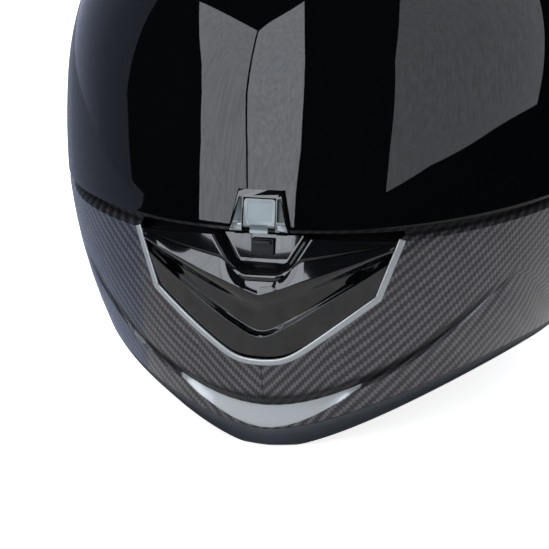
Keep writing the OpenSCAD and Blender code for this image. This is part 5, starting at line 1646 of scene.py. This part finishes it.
def band_solid(name, route, run, outline):
    """Sweeps a flat outline, given across and out of the band, along a route, with the weave laid on it."""
    _, u, n = band(route)
    sections = route[:, None] + u[:, None] * outline[None, :, :1] + n[:, None] * outline[None, :, 1:]
    around = lengths(np.concatenate([outline, outline[:1]]))
    cloth = np.stack([np.broadcast_to(around[None, :], (len(route), len(around))),
                      np.broadcast_to(run[:, None], (len(route), len(around)))], -1)
    return swept(name, sections, weave=cloth)


route, run = smooth_route(strap_route, 90)
STRAP_W, STRAP_T = 22.0, 1.8
strap_outline = fillet(np.array([[-STRAP_W / 2, -STRAP_T / 2], [STRAP_W / 2, -STRAP_T / 2],
                                 [STRAP_W / 2, STRAP_T / 2], [-STRAP_W / 2, STRAP_T / 2]]), (0.7,) * 4, 4)
strap = band_solid("strap_webbing_left", route, run, strap_outline)
soften(strap, 0, smooth=50)
fit_pair(strap, "strap_webbing_right", WEBBING, "strap")

# The padded sleeve round the strap: a quilted tube with a seam along each edge
SLEEVE_W, SLEEVE_T, CORE_W, CORE_T = 15.0, 3.5, 12.25, 1.7
sleeve_path, sleeve_run = smooth_route(strap_route[2:6], 64)
_, u, n = band(sleeve_path)
turns_round = np.linspace(0, 2 * np.pi, 56, endpoint=False)
cx = np.sign(np.cos(turns_round)) * np.abs(np.cos(turns_round)) ** 0.35
cy = np.sign(np.sin(turns_round)) * np.abs(np.sin(turns_round)) ** 0.8
at = sleeve_run / sleeve_run[-1]
plump = 0.72 + 0.28 * np.sqrt(np.maximum(0, 1 - np.abs(2 * at - 1) ** 6))
stitched = 1 - 0.3 * sum(np.exp(-((at - s) / 0.018) ** 2) for s in (0.28, 0.52, 0.76))
across, out = u[:, None] * cx[None, :, None], n[:, None] * cy[None, :, None]
outer_tube = (sleeve_path[:, None] + across * SLEEVE_W * (0.97 + 0.03 * plump)[:, None, None]
              + out * SLEEVE_T * (plump * stitched)[:, None, None])
inner_tube = sleeve_path[:, None] + across * CORE_W + out * CORE_T
sleeve = slab("strap_sleeve_sewn_left", outer_tube, inner_tube, "tube")
soften(sleeve, 0.5, 3, 60, 60)
for ob in fit_pair(sleeve, "strap_sleeve_sewn_right", LINING, "strap_sleeve"):
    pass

# Small moulded and metal parts, with their edges eased

BLACK, GREY = (NYLON, "black_plastic"), (GREY_NYLON, "grey_plastic")
RED, METAL = (RED_NYLON, "red_plastic"), (STEEL, "steel")
for node, (look, slot), width in (
        ("visor_bushes", BLACK, 0.3), ("visor_base_left", BLACK, 0.35), ("visor_base_right", BLACK, 0.35),
        ("pivot_cap_left", (SATIN, "black_plastic"), 0.4), ("pivot_cap_right", (SATIN, "black_plastic"), 0.4),
        ("release_tab_left", RED, 0.35), ("release_tab_right", RED, 0.35), ("latch_catch", BLACK, 0.25),
        ("chin_vent_duct", BLACK, 0.3), ("chin_vent_shutter", GREY, 0.3), ("rear_vent_slider", GREY, 0.5),
        ("base_screws", METAL, 0.2), ("latch_pin", METAL, 0.1), ("lens_pins", BLACK, 0.2),
        ("pad_snaps", METAL, 0.12), ("strap_anchors", METAL, 0.25), ("buckle_body", METAL, 0.35),
        ("buckle_lever", RED, 0.4), ("buckle_pin", METAL, 0.15), ("buckle_tongue", BLACK, 0.2),
        ("chin_vent_mesh", METAL, 0.1)):
    dressed(node, look, width)
